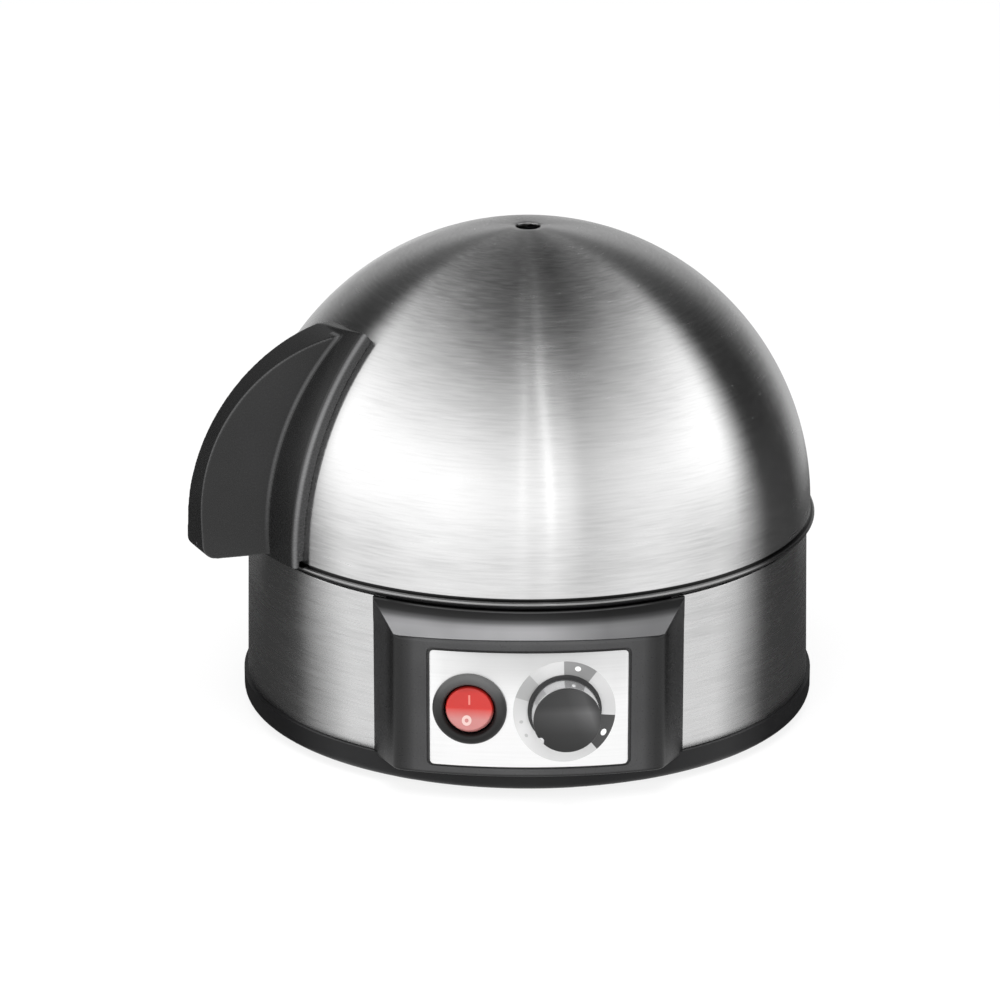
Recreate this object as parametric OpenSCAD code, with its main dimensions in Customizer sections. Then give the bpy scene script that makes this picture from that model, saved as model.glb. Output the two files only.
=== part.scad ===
// Electric egg cooker: a steel dome lid with a side handle, a tray for the eggs, a heated
// water dish and a round base with a front control console.
// Millimetres, Z up. The axis of the base is at X = Y = 0, the bottom of the feet at Z = 0
// and the console faces -Y.

/* [Base] */
// Outer radius of the steel band at its foot
base_r = 90.8; // [84:0.1:105]
// How much smaller the band's radius is at its top
band_taper = 0.9; // [0:0.1:2]
// Height of the steel band
band_h = 50.8; // [48:0.1:70]
// Thickness of the steel band's sheet
band_t = 0.8; // [0.5:0.1:1.2]
// Height of the foot ring
ring_h = 8; // [7:0.5:14]
// How far the foot ring stands out past the band
ring_out = 1.3; // [0.6:0.1:2.4]
// How far the foot ring reaches in from the band's outside
ring_w = 5.8; // [5:0.1:9]
// Radius of the foot ring's rounded lower edge
ring_round = 3; // [2:0.5:4]
// Height of the foot ring's upstand inside the band
upstand_h = 4; // [2:0.5:8]
// Thickness of the base plate
plate_t = 2.5; // [2:0.1:3.5]
// Height of the rubber feet below the foot ring
foot_h = 2; // [1:0.5:6]
// Radius of a rubber foot
foot_r = 7; // [5:0.5:10]
// Number of rubber feet
foot_count = 4; // [3:1:6]
// How far the feet stand in from the band's outside
foot_in = 26.8; // [20:0.1:36]

/* [Collar] */
// Height of the collar's lip between the band and the lid
lip_h = 2.8; // [2:0.1:5]
// How far the lip stands out past the band's top
lip_out = 0.3; // [0.1:0.1:1]
// Height of the collar's sleeve inside the band
sleeve_h = 6; // [4:0.5:9]
// Thickness of the collar's sleeve
sleeve_t = 2.2; // [1.6:0.1:3]
// Height of the spigot that centres the lid, above the lip
spigot_h = 2.4; // [1.5:0.1:5]
// Depth of the dish ledge below the lip's top
ledge_drop = 4.6; // [4:0.1:6]
// Width of the dish ledge
ledge_w = 8; // [7:0.5:9]
// Thickness of the dish ledge
ledge_t = 2.5; // [2:0.1:4]
// Radius of a screw post
post_r = 4; // [3.5:0.1:4.5]

/* [Lid] */
// How much larger the dome's outer radius is than the band's at its foot
dome_over = 0.2; // [-0.2:0.1:0.6]
// Thickness of the dome's sheet
dome_t = 0.8; // [0.5:0.1:1.5]
// How far the rim lies below the dome's centre
dome_skirt = 2.3; // [1:0.1:6]
// How far the rolled rim stands out past the dome
bead_out = 1.4; // [0.4:0.1:2]
// Radius of the rolled rim
bead_r = 2.4; // [2:0.1:2.8]
// Diameter of the steam vent
vent_d = 8; // [5:0.5:14]

/* [Handle] */
// Direction of the handle, turned from +X
handle_dir = 205; // [180:1:225]
// Angle that the handle's flange covers round the dome, in front of the grip's middle
flange_half = 15; // [12:0.5:20]
// Angle that the flange covers behind the grip's middle, hidden by the grip
flange_back = 4; // [3:0.5:4.5]
// Latitude at which the flange ends
flange_lat = 46; // [43:1:50]
// Thickness of the flange
flange_t = 3.5; // [2.5:0.1:5]
// Tilt of the handle's upper end, down towards its back
crown_tilt = 6; // [2:0.5:10]
// Radius of the grip's round outer edge
grip_r = 56.4; // [54:0.2:60]
// How far the grip edge's centre lies inside the dome's outside
grip_in = 32.4; // [30:0.2:35]
// Height of the grip edge's centre above the dome's centre
grip_rise = 10.3; // [7:0.1:12]
// How far the flange reaches below the rim
flange_drop = 0.4; // [0.2:0.1:0.8]
// How far the grip's lower edge stays above the rim
grip_up = 0.6; // [0.3:0.1:3]
// Radius of the grip's lower outer corner
grip_corner = 4.2; // [3:0.1:8]
// Half width of the grip at its foot, next to the dome
grip_w_foot = 10.5; // [9:0.1:13]
// Half width of the grip at its lower outer edge
grip_w_nose = 5.8; // [4:0.1:8]
// Half width of the grip at its upper end
grip_w_crown = 8.2; // [7:0.1:11]
// Latitudes of the handle screws
handle_screw_lats = [10, 32]; // [5:1:34]
// Radius of a handle screw
handle_screw_r = 1.9; // [1.5:0.1:2.5]
// Length of a handle screw in the handle
handle_screw_reach = 8; // [5:0.5:9]

/* [Dish and tray] */
// Thickness of the dish's sheet
dish_t = 0.8; // [0.6:0.1:1.5]
// Depth of the dish
dish_depth = 14; // [10:0.5:16]
// Radius of the dish's lower corner
dish_round = 8; // [4:0.5:10]
// Thickness of the dish's seal
seal_t = 1.2; // [0.8:0.1:2]
// Height of the egg tray
tray_h = 6; // [4.5:0.5:10]
// Thickness of the egg tray
tray_t = 1.6; // [1.2:0.1:2.4]
// Radius of an egg hole
egg_r = 18; // [15:0.5:18.5]
// Distance of the outer egg holes from the axis
egg_circle = 51; // [46:0.5:52]
// Number of outer egg holes
egg_count = 6; // [4:1:7]
// Height of the collar round an egg hole
egg_lip_h = 2; // [1:0.5:4]
// Width of a finger tab
tab_w = 26; // [16:1:30]
// Height of a finger tab above the tray
tab_h = 15; // [10:1:20]

/* [Heater] */
// Radius of the heating element's ring
element_ring = 48; // [40:0.5:55]
// Radius of the heating element's tube
element_r = 3.3; // [2.5:0.1:4]
// Angle left open between the element's ends
element_open = 40; // [30:1:80]
// Radius of the stud under the dish
stud_r = 2.5; // [2:0.1:4]
// Width of the dish bridge
bridge_w = 14; // [10:1:18]
// Thickness of the dish bridge
bridge_t = 1.5; // [1:0.1:2.5]
// Gap between the dish's floor and the bridge
bridge_drop = 8.5; // [8.2:0.1:11]
// Radius of the thermal cut-out
cutout_r = 8; // [6:0.5:9]

/* [Console] */
// Width of the console where it meets the band
console_w = 96; // [90:1:104]
// How far the console's front stands out past the band's foot
console_out = 6.2; // [5.2:0.1:16]
// Radius of the console's bowed front
front_r = 140; // [110:1:220]
// Radius of the console's vertical corners
corner_r = 5; // [3:0.5:7]
// Angle of the console's sides, turned from straight ahead
side_angle = 27; // [22:1:32]
// Height of the slope's lower edge above the foot ring
slope_z = 43.2; // [42:0.1:44]
// Wall thickness of the console
console_wall = 2.2; // [1.6:0.1:2.6]
// How far the console reaches down in front of the foot ring
console_drop = 1.2; // [0:0.1:3]
// Width of the face plate
face_w = 61.5; // [60:0.5:63]
// Height of the face plate
face_h = 37.5; // [34:0.5:38]
// Height of the face plate's middle above the foot ring
face_z = 20.8; // [20:0.1:21.2]
// Thickness of the face plate
face_t = 0.8; // [0.5:0.1:1.2]
// Corner radius of the face plate
face_corner = 1.5; // [1:0.5:4]
// Width of the groove round the face plate
face_groove = 0.6; // [0.3:0.1:1.5]
// Height of the controls above the foot ring
control_z = 21.05; // [20:0.05:22]

/* [Switch] */
// Position of the switch across the face
switch_x = -18.15; // [-19:0.05:-16]
// Radius of the switch's bezel
bezel_r = 11.5; // [11:0.1:12]
// Radius of the switch's barrel
barrel_r = 9.9; // [9.4:0.1:10.4]
// Length of the switch's barrel behind the face
barrel_len = 20; // [14:0.5:24]
// Radius of the round rocker
rocker_r = 7.7; // [6.5:0.1:8]
// Half of the rocker's throw, and the slope of its two faces
rocker_throw = 10; // [6:0.5:12]
// Radius of the rocker's axle
axle_r = 1; // [0.8:0.05:1.4]

/* [Knob] */
// Position of the knob across the face
knob_x = 10.9; // [9:0.05:13]
// Radius of the knob's skirt at the face
knob_r = 11.6; // [10.5:0.1:12.5]
// Radius of the knob's skirt at the cap
knob_top_r = 10.6; // [10.2:0.1:11.5]
// Height of the knob's skirt
skirt_h = 8; // [6.5:0.5:14]
// Direction of the knob's mark, turned from +X
knob_mark = 218.5; // [200:0.5:240]
// Radius of the control shaft
shaft_r = 3; // [2.5:0.1:3.2]
// Width and height of the rotary control
control_w = 24; // [20:0.5:26]
// Depth of the rotary control
control_depth = 10; // [8:0.5:14]

/* [Cord inlet] */
// Height of the cord gland above the foot ring
gland_rise = 12; // [9.5:0.5:24]
// Radius of the cord gland's bore
gland_bore = 3.3; // [2.5:0.1:4]
// Radius of the gland's body in the band
gland_r = 5.8; // [5:0.1:6.5]
// Radius of the gland's flange
gland_flange = 8; // [7.5:0.1:9]

/* [Fits] */
// Gap between pieces that seat on each other along curved faces
seat_gap = 0.3; // [0.2:0.05:0.5]
// Radial clearance of a turning shaft
run_gap = 0.05; // [0.02:0.01:0.08]
// Gap around a screw in its hole
screw_gap = 0.2; // [0.1:0.05:0.4]
// Gap between a screw and its thread, and between pieces that stand on each other
stand_gap = 0.1; // [0.05:0.01:0.15]

/* [Hidden] */
$fn = 96;

// Reach of a cut past the solid that it is taken from
over = 1;
// A length past every part of the object
far = 4 * base_r;
// Direction of the console's front, turned from +X
ahead = -90;
// Turn of the screw posts and the feet from +X
post_turn = 45;

// Heights of the base
band_z0 = foot_h + ring_h;
band_z1 = band_z0 + band_h;
plate_z1 = foot_h + plate_t;
lip_z1 = band_z1 + lip_h;
ledge_z = lip_z1 - ledge_drop;

// Radii of the base
band_top_r = base_r - band_taper;
ring_r = base_r + ring_out;
ring_in_r = base_r - ring_w;
plate_step = 2.6;
plate_r = ring_r - ring_round - plate_step;
foot_circle = base_r - foot_in;
foot_peg_r = foot_r / 2;
barb_out = 0.6;
barb_h = 1.3;
lip_r = band_top_r + lip_out;
sleeve_r = band_top_r - band_t - seat_gap;
sleeve_in_r = sleeve_r - sleeve_t;
spigot_t = 2.8;
spigot_in_r = sleeve_in_r - spigot_t + seat_gap;
ledge_in_r = spigot_in_r - ledge_w;

// Screw posts between the collar and the base plate
post_count = 4;
post_circle = ring_in_r - post_r - seat_gap;
post_z = plate_z1 + 2.5;
base_screw_r = 1.5;
base_screw_len = 13;
base_head_r = 2.7;
base_head_h = 2;
head_sink = 0.5;

// Lid
dome_r = base_r + dome_over;
rim_z = lip_z1 + seat_gap;
rim_flat = 0.2;
dome_z = rim_z + dome_skirt;
dome_in_r = dome_r - dome_t;
bead_ring = dome_r + bead_out - bead_r;
bead_z = rim_z + bead_r - rim_flat;
washer_r = 4.5;
washer_t = 0.8;
washer_seat = sqrt(dome_in_r * dome_in_r - washer_r * washer_r) - stand_gap / 2;
handle_head_r = 3.4;
handle_head_h = 2.2;
screw_tip_room = 0.5;

// Handle, in the plane through its middle: distance from the axis, and height
grip_out = dome_r - grip_in;
grip_z0 = rim_z + grip_up;
flange_z0 = rim_z - flange_drop;
grip_cz = dome_z + grip_rise;
flange_r = dome_r + seat_gap + flange_t;
grip_foot = [flange_r, grip_z0];
grip_nose = [grip_out + grip_r, grip_cz];
grip_crown = [flange_r * cos(flange_lat), dome_z + flange_r * sin(flange_lat)];
crown_z = grip_crown.y - grip_crown.x * sin(flange_half) * tan(crown_tilt);

// Dish and tray
dish_z1 = ledge_z + seal_t + dish_t;
dish_r = ledge_in_r - seat_gap - dish_t;
dish_flange_r = spigot_in_r - seat_gap;
dish_floor = dish_z1 - dish_depth;
dish_under = dish_floor - dish_t;
tray_z0 = dish_z1 + seat_gap;
tray_z1 = tray_z0 + tray_h;
tray_r = dish_flange_r - 1;
tab_in = 4;
tab_r = tray_r - tray_t - tab_in;
tab_t = 2.2;
egg_wall = 1.6;

// Heater
heater_gap = 0.2;
element_z = dish_under - heater_gap - element_r;
leg_wall = 0.8;
leg_r = element_r + leg_wall;
leg_h = 9;
pin_r = 1.2;
pin_h = 7;
bridge_z1 = dish_under - bridge_drop;
bridge_end = ledge_in_r + ledge_w / 2;
nut_h = 3;
stud_tip = 1.2;
stud_z0 = bridge_z1 - bridge_t - nut_h - stud_tip;

// Console, seen from above
console_z0 = band_z0;
console_z1 = band_z1;
slope_z0 = band_z0 + slope_z;
front_cy = front_r - base_r - console_out;
side_n = [cos(side_angle), -sin(side_angle)];
console_half = console_w / 2;
band_tuck = 3.5;
band_gap = console_w - 2 * band_tuck;
console_edge = [console_half, -sqrt(base_r * base_r - console_half * console_half)];
console_back = -base_r * 0.6;
corner_turn = -ahead - side_angle
    - acos((side_n * console_edge - corner_r - side_n * [0, front_cy]) / (front_r - corner_r));
corner_at = [0, front_cy] + (front_r - corner_r) * [sin(corner_turn), -cos(corner_turn)];
console_cut_r = sleeve_r + seat_gap;
boss_r = 3.5;
boss_in = 12;
boss_back = 3.2;
boss_x = console_half - boss_in;
boss_at = [boss_x, -sqrt(pow(base_r - boss_back, 2) - boss_x * boss_x)];
boss_h = 12;
console_screw_r = 1.4;
console_head_r = 2.6;
console_head_h = 2;

// Face and controls: distances out from the console's front
face_out = 0.1;
face_in = face_out - face_t;
controls_at = band_z0 + control_z;
wall_in = sqrt(pow(front_r - console_wall, 2) - pow(control_w / 2, 2)) - front_r - stand_gap;
barrel_hole = barrel_r + screw_gap;

// Switch
rocker_gap = 0.2;
cavity_r = rocker_r + rocker_gap;
bezel_tube = (bezel_r - cavity_r) / 2;
bezel_out = face_out + stand_gap;
pivot_out = -1.5;
axle_half = (cavity_r + barrel_r) / 2 + seat_gap;
rocker_face = 3;
rocker_back = 2;
cavity_depth = 7.5;
blade = [0.8, 6.3];
blade_len = 8;

// Knob and rotary control
knob_gap = 0.5;
knob_out = face_out + knob_gap;
cap_out = knob_out + skirt_h + stand_gap;
cap_t = 0.8;
cap_skirt_r = 9.3;
bushing_wall = 1.4;
bushing_r = shaft_r + bushing_wall;
bushing_out = 2.8;
nut_wall = 1.8;
nut_r = bushing_r + nut_wall;
nut_sink = 0.4;
hub_out = bushing_out + nut_sink;
hub_wall = 2.2;
hub_r = shaft_r + hub_wall;
shaft_tail = 3;
shaft_in = wall_in - control_depth + shaft_tail;
shaft_sink = 1.5;
shaft_end = cap_out - shaft_sink;
board_t = 1.6;
board_in = wall_in - control_depth - board_t;

// Cord gland
gland_z = band_z0 + gland_rise;
gland_out = band_r(gland_z - gland_flange) + stand_gap;
gland_flange_t = 2.5;
gland_in = sqrt(pow(band_r(gland_z) - band_t, 2) - pow(gland_flange, 2)) - stand_gap;
gland_lock_t = 2.5;
gland_lock_r = gland_flange - 0.5;

// Outer radius of the steel band at a height
function band_r(z) = base_r - band_taper * (z - band_z0) / band_h;

// Repeat the children at equal angles, each at a distance from the axis
module ring_of(count, distance, start = 0) {
    for (i = [0 : count - 1])
        rotate([0, 0, start + 360 * i / count]) translate([distance, 0, 0]) children();
}

// A tube about Z
module tube(outer, inner, h) {
    difference() {
        cylinder(r = outer, h = h);
        translate([0, 0, -over]) cylinder(r = inner, h = h + 2 * over);
    }
}

// Put the children on the console's bowed front, with Z pointing out of it and Y up
module on_front(x) {
    translate([0, front_cy, controls_at])
        rotate([0, 0, asin(x / front_r)])
            translate([0, -front_r, 0])
                rotate([90, 0, 0]) children();
}

// A round bar on Z from one distance to another
module bar(r, from, to) {
    translate([0, 0, from]) cylinder(r = r, h = to - from);
}

// A rectangle with round corners about the origin
module round_rect(w, h, r) {
    square([w, h - 2 * r], center = true);
    square([w - 2 * r, h], center = true);
    for (sx = [-1, 1])
        for (sy = [-1, 1])
            translate([sx * (w / 2 - r), sy * (h / 2 - r)]) circle(r);
}

// Lid

module lid_dome() {
    color("gainsboro") difference() {
        rotate_extrude() {
            intersection() {
                translate([0, dome_z]) difference() {
                    circle(dome_r);
                    circle(dome_in_r);
                }
                translate([vent_d / 2, bead_z + bead_r - dome_t]) square(far);
            }
            intersection() {
                translate([bead_ring, bead_z]) difference() {
                    circle(bead_r);
                    circle(bead_r - dome_t);
                    translate([-far, -bead_r / 2]) square([far, bead_r / 2]);
                }
                translate([0, rim_z]) square(far);
            }
        }
        for (lat = handle_screw_lats)
            at_handle(lat) bar(handle_screw_r + screw_gap, dome_in_r - bead_r, dome_r + bead_r);
    }
}

// Put the children on a screw's line through the dome, with Z pointing out
module at_handle(lat) {
    rotate([0, 0, handle_dir]) translate([0, 0, dome_z]) rotate([0, 90 - lat, 0]) children();
}

// The grip's outline, seen from its side
module grip_side() {
    corner = [grip_nose.x - grip_corner, grip_z0 + grip_corner];
    difference() {
        translate([0, grip_z0]) square([grip_nose.x, grip_cz + grip_r - grip_z0]);
        difference() {
            translate([grip_out, grip_cz]) square(grip_r + over);
            translate([grip_out, grip_cz]) circle(grip_r);
        }
        difference() {
            translate([corner.x, grip_z0 - over]) square(grip_corner + over);
            translate(corner) circle(grip_corner);
        }
    }
}

// The space between the grip's two flat, tapering sides
module grip_taper() {
    nose = grip_nose - grip_foot;
    crown = grip_crown - grip_foot;
    nose_w = grip_w_nose - grip_w_foot;
    crown_w = grip_w_crown - grip_w_foot;
    det = nose.x * crown.y - crown.x * nose.y;
    per_out = (nose_w * crown.y - crown_w * nose.y) / det;
    per_up = (nose.x * crown_w - crown.x * nose_w) / det;
    per_mm = norm([per_out, per_up]);
    apex = grip_w_foot / per_mm;
    translate([grip_foot.x, 0, grip_foot.y])
        rotate([0, -atan2(-per_up, -per_out), 0])
            translate([0, 0, -far])
                linear_extrude(2 * far)
                    polygon([[apex, 0], [-far, per_mm * (far + apex)], [-far, -per_mm * (far + apex)]]);
}

// The flange's section between the rim and its end latitude
module flange_section() {
    intersection() {
        translate([0, dome_z]) difference() {
            circle(flange_r);
            circle(dome_r - over);
        }
        translate([0, dome_z])
            polygon([
                [0, 0],
                far * [cos(flange_lat), sin(flange_lat)],
                [far, 0],
                [far, flange_z0 - dome_z],
                [0, flange_z0 - dome_z],
            ]);
    }
}

module lid_handle() {
    color("dimgray") difference() {
        rotate([0, 0, handle_dir]) difference() {
            union() {
                rotate([0, 0, -flange_back])
                    rotate_extrude(angle = flange_half + flange_back) flange_section();
                intersection() {
                    rotate([90, 0, 0]) linear_extrude(far, center = true) grip_side();
                    grip_taper();
                }
            }
            translate([0, 0, dome_z]) sphere(dome_r + seat_gap);
            bar(dome_r + bead_out + seat_gap, 0, bead_z + bead_r);
            translate([0, 0, crown_z]) rotate([crown_tilt, 0, 0])
                translate([-far, -far, 0]) cube(2 * far);
        }
        for (lat = handle_screw_lats)
            at_handle(lat)
                bar(handle_screw_r + stand_gap, dome_in_r, dome_r + handle_screw_reach + screw_tip_room);
    }
}

module handle_screws() {
    color("silver") for (lat = handle_screw_lats)
        at_handle(lat) {
            bar(handle_screw_r, washer_seat - washer_t - over, dome_r + handle_screw_reach);
            bar(handle_head_r, washer_seat - washer_t - handle_head_h, washer_seat - washer_t);
        }
}

module handle_washers() {
    color("silver") for (lat = handle_screw_lats)
        at_handle(lat)
            translate([0, 0, washer_seat - washer_t])
                tube(washer_r, handle_screw_r + screw_gap, washer_t);
}

// Egg tray

// The axes of the egg holes: one in the middle and a ring around it
module egg_places() {
    children();
    ring_of(egg_count, egg_circle, 180 / egg_count) children();
}

// A finger tab with a round top
module finger_tab() {
    rotate([90, 0, 90]) linear_extrude(tab_t, center = true) {
        translate([-tab_w / 2, -tray_t / 2]) square([tab_w, tab_h - tab_w / 4 + tray_t / 2]);
        translate([-tab_w / 4, 0]) square([tab_w / 2, tab_h]);
        for (s = [-1, 1])
            translate([s * tab_w / 4, tab_h - tab_w / 4]) circle(tab_w / 4);
    }
}

module egg_tray() {
    color("slategray") difference() {
        union() {
            translate([0, 0, tray_z0]) tube(tray_r, tray_r - tray_t, tray_h - tray_t / 2);
            translate([0, 0, tray_z1 - tray_t]) cylinder(r = tray_r, h = tray_t);
            egg_places() translate([0, 0, tray_z1 - tray_t / 2])
                cylinder(r = egg_r + egg_wall, h = egg_lip_h + tray_t / 2);
            ring_of(2, tab_r) translate([0, 0, tray_z1]) finger_tab();
        }
        egg_places() translate([0, 0, tray_z0]) cylinder(r = egg_r, h = tray_h + egg_lip_h + over);
    }
}

// Base

module upper_housing() {
    color("dimgray") difference() {
        union() {
            rotate_extrude() {
                translate([lip_r - lip_h / 2, band_z1 + lip_h / 2]) circle(lip_h / 2);
                translate([spigot_in_r, band_z1]) square([lip_r - lip_h / 2 - spigot_in_r, lip_h]);
                translate([sleeve_in_r, band_z1 - sleeve_h]) square([sleeve_t, sleeve_h + lip_h / 2]);
                translate([spigot_in_r, ledge_z - ledge_t])
                    square([spigot_t, ledge_drop + ledge_t + spigot_h]);
                translate([ledge_in_r, ledge_z - ledge_t]) square([ledge_w + over, ledge_t]);
            }
            ring_of(post_count, post_circle, post_turn) translate([0, 0, post_z])
                cylinder(r = post_r, h = ledge_z - ledge_t / 2 - post_z);
        }
        ring_of(post_count, post_circle, post_turn)
            bar(base_screw_r + stand_gap, post_z - over, post_z + base_screw_len + over);
    }
}

module steel_band() {
    color("gainsboro") difference() {
        rotate_extrude() polygon([
            [base_r - band_t, band_z0], [base_r, band_z0],
            [band_top_r, band_z1], [band_top_r - band_t, band_z1],
        ]);
        translate([-band_gap / 2, -far, band_z0 - over]) cube([band_gap, far, band_h + 2 * over]);
        translate([0, 0, gland_z]) rotate([-90, 0, 0]) cylinder(r = gland_r + screw_gap, h = far);
    }
}

module foot_ring() {
    upstand_r = base_r - band_t - seat_gap;
    color("dimgray") difference() {
        rotate_extrude() difference() {
            union() {
                translate([ring_in_r, foot_h]) square([ring_r - ring_in_r, ring_h]);
                translate([ring_in_r, band_z0 - over]) square([upstand_r - ring_in_r, upstand_h + over]);
            }
            difference() {
                translate([ring_r - ring_round, foot_h - over]) square(ring_round + over);
                translate([ring_r - ring_round, foot_h + ring_round]) circle(ring_round);
            }
            translate([0, foot_h - over]) square([plate_r + seat_gap, plate_t + over]);
        }
        translate([-band_gap / 2 - over, -far, band_z0]) cube([band_gap + 2 * over, far, upstand_h + over]);
        for (s = [-1, 1])
            translate([s * boss_at.x, boss_at.y, 0]) {
                bar(console_screw_r + screw_gap, 0, band_z0 + over);
                bar(console_head_r + screw_gap, 0, plate_z1 + console_head_h + screw_gap);
            }
    }
}

module base_plate() {
    color("dimgray") difference() {
        union() {
            bar(plate_r, foot_h, plate_z1);
            ring_of(post_count, post_circle, post_turn) bar(post_r, foot_h, post_z);
        }
        ring_of(post_count, post_circle, post_turn) {
            bar(base_screw_r + screw_gap, foot_h - over, post_z + over);
            bar(base_head_r + screw_gap, foot_h - over, foot_h + base_head_h + head_sink + stand_gap);
        }
        ring_of(foot_count, foot_circle, post_turn)
            bar(foot_peg_r + stand_gap, foot_h - over, plate_z1 + over);
    }
}

module base_screws() {
    head_z1 = foot_h + base_head_h + head_sink;
    color("silver") ring_of(post_count, post_circle, post_turn) {
        bar(base_head_r, head_z1 - base_head_h, head_z1);
        bar(base_screw_r, head_z1 - base_head_h / 2, post_z + base_screw_len);
    }
}

module rubber_feet() {
    color("#202020") ring_of(foot_count, foot_circle, post_turn) {
        bar(foot_r, 0, foot_h);
        bar(foot_peg_r, foot_h / 2, plate_z1 + stand_gap);
        bar(foot_peg_r + barb_out, plate_z1 + stand_gap, plate_z1 + stand_gap + barb_h);
    }
}

// Dish and heater

// Half of the dish's section, filled, with the wall and floor moved out by a distance
module dish_half(out, z1) {
    r = dish_r + out;
    z = dish_floor - out;
    c = dish_round + out;
    difference() {
        translate([0, z]) square([r, z1 - z]);
        difference() {
            translate([r - c, z - over]) square([c + over, c + over]);
            translate([r - c, z + c]) circle(c);
        }
    }
}

module heating_dish() {
    color("lightgray") {
        rotate_extrude() difference() {
            union() {
                dish_half(dish_t, dish_z1);
                translate([0, dish_z1 - dish_t]) square([dish_flange_r, dish_t]);
            }
            dish_half(0, dish_z1 + over);
        }
        bar(stud_r, stud_z0, dish_floor - dish_t / 2);
    }
}

module dish_seal() {
    color("firebrick") translate([0, 0, ledge_z])
        tube(dish_flange_r, dish_flange_r - ledge_w / 2, seal_t);
}

module heating_element() {
    color("slategray") {
        translate([0, 0, element_z])
            rotate([0, 0, ahead + element_open / 2])
                rotate_extrude(angle = 360 - element_open) translate([element_ring, 0]) circle(element_r);
        for (s = [-1, 1])
            rotate([0, 0, ahead + s * element_open / 2]) translate([element_ring, 0, 0]) {
                bar(leg_r, element_z - leg_h, element_z + element_r / 2);
                bar(pin_r, element_z - leg_h - pin_h, element_z - leg_h / 2);
            }
    }
}

module dish_bridge() {
    z0 = bridge_z1 - bridge_t;
    top = ledge_z - ledge_t;
    color("silver") difference() {
        rotate([90, 0, 0]) linear_extrude(bridge_w, center = true) {
            translate([-bridge_end, z0]) square([2 * bridge_end, bridge_t]);
            for (s = [0, 1])
                mirror([s, 0]) {
                    translate([bridge_end - bridge_t, z0]) square([bridge_t, top - z0]);
                    translate([ledge_in_r + seat_gap, top - bridge_t])
                        square([bridge_end - ledge_in_r - seat_gap, bridge_t]);
                }
        }
        bar(stud_r + screw_gap, z0 - over, bridge_z1 + over);
    }
}

module bridge_nut() {
    color("silver") difference() {
        bar_hex(2 * stud_r, bridge_z1 - bridge_t - nut_h, bridge_z1 - bridge_t);
        bar(stud_r + stand_gap, 0, bridge_z1);
    }
}

// A hexagonal bar on Z
module bar_hex(r, from, to) {
    translate([0, 0, from]) cylinder(r = r, h = to - from, $fn = 6);
}

module thermal_cutout() {
    z1 = dish_under - heater_gap;
    cap_h = 3;
    cap_lip = 1;
    body_h = 5;
    spade_w = 4.8;
    spade_t = 0.8;
    spade_h = 6;
    color("burlywood") translate([0, element_ring / 2, 0]) {
        bar(cutout_r, z1 - cap_h, z1);
        bar(cutout_r - cap_lip, z1 - cap_h - body_h, z1 - cap_h / 2);
        for (s = [-1, 1])
            translate([s * cutout_r / 2, 0, z1 - cap_h - body_h - spade_h / 2 + over / 2])
                cube([spade_t, spade_w, spade_h + over], center = true);
    }
}

module thermal_fuse() {
    fuse_r = 2.2;
    fuse_len = 16;
    lead_r = 0.5;
    lead_len = 26;
    color("gainsboro") translate([0, -element_ring / 2, dish_under - heater_gap - fuse_r])
        rotate([0, 90, 0]) {
            bar(fuse_r, -fuse_len / 2, fuse_len / 2);
            bar(lead_r, -lead_len / 2, lead_len / 2);
        }
}

// Console

// Points along an arc between two directions, without as many as skip at each end
function arc(centre, r, from, to, steps, skip = 0) = [
    for (i = [skip : steps - skip])
        let (turn = from + (to - from) * i / steps)
            centre + r * [cos(turn), sin(turn)]
];

// The right half of a plan, and its mirror image in reverse order
function mirrored(right) = concat(right, [
    for (i = [len(right) - 1 : -1 : 0]) [-right[i].x, right[i].y]
]);

// The console seen from above, drawn in by a wall thickness
module console_plan(inset) {
    steps = 7;
    side = corner_at + (corner_r - inset) * side_n;
    back = side + (console_back - side.y) * [tan(side_angle), 1];
    polygon(mirrored(concat(
        arc([0, front_cy], front_r - inset, ahead + corner_turn / (2 * steps), ahead + corner_turn, steps),
        arc(corner_at, corner_r - inset, ahead + corner_turn, -side_angle, steps + 1, 1),
        [side, back]
    )));
}

// The part of the lip's outline above the console
module lip_plan(r) {
    half = asin(console_half / r);
    steps = 12;
    polygon(mirrored(concat(
        arc([0, 0], r, ahead + half / (2 * steps), ahead + half, steps),
        [[console_half, console_back]]
    )));
}

// The console as a solid: an upright body and the slope that runs up to the lip
module console_body(inset, z0, z1) {
    edge_h = 0.4;
    edge_out = 0.5;
    hull() {
        translate([0, 0, z0]) linear_extrude(slope_z0 - inset / 2 - z0) console_plan(inset);
        translate([0, 0, z1 - edge_h]) linear_extrude(edge_h) lip_plan(lip_r + edge_out - 1.5 * inset);
    }
}

// The room that the face plate takes in the console, with a margin and a depth
module face_room(margin, depth, out) {
    intersection() {
        translate([0, 0, band_z0 + face_z])
            rotate([90, 0, 0]) linear_extrude(far)
                round_rect(face_w + 2 * margin, face_h + 2 * margin, face_corner);
        translate([0, front_cy, 0]) tube(front_r + out, front_r - depth, console_z1);
    }
}

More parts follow.
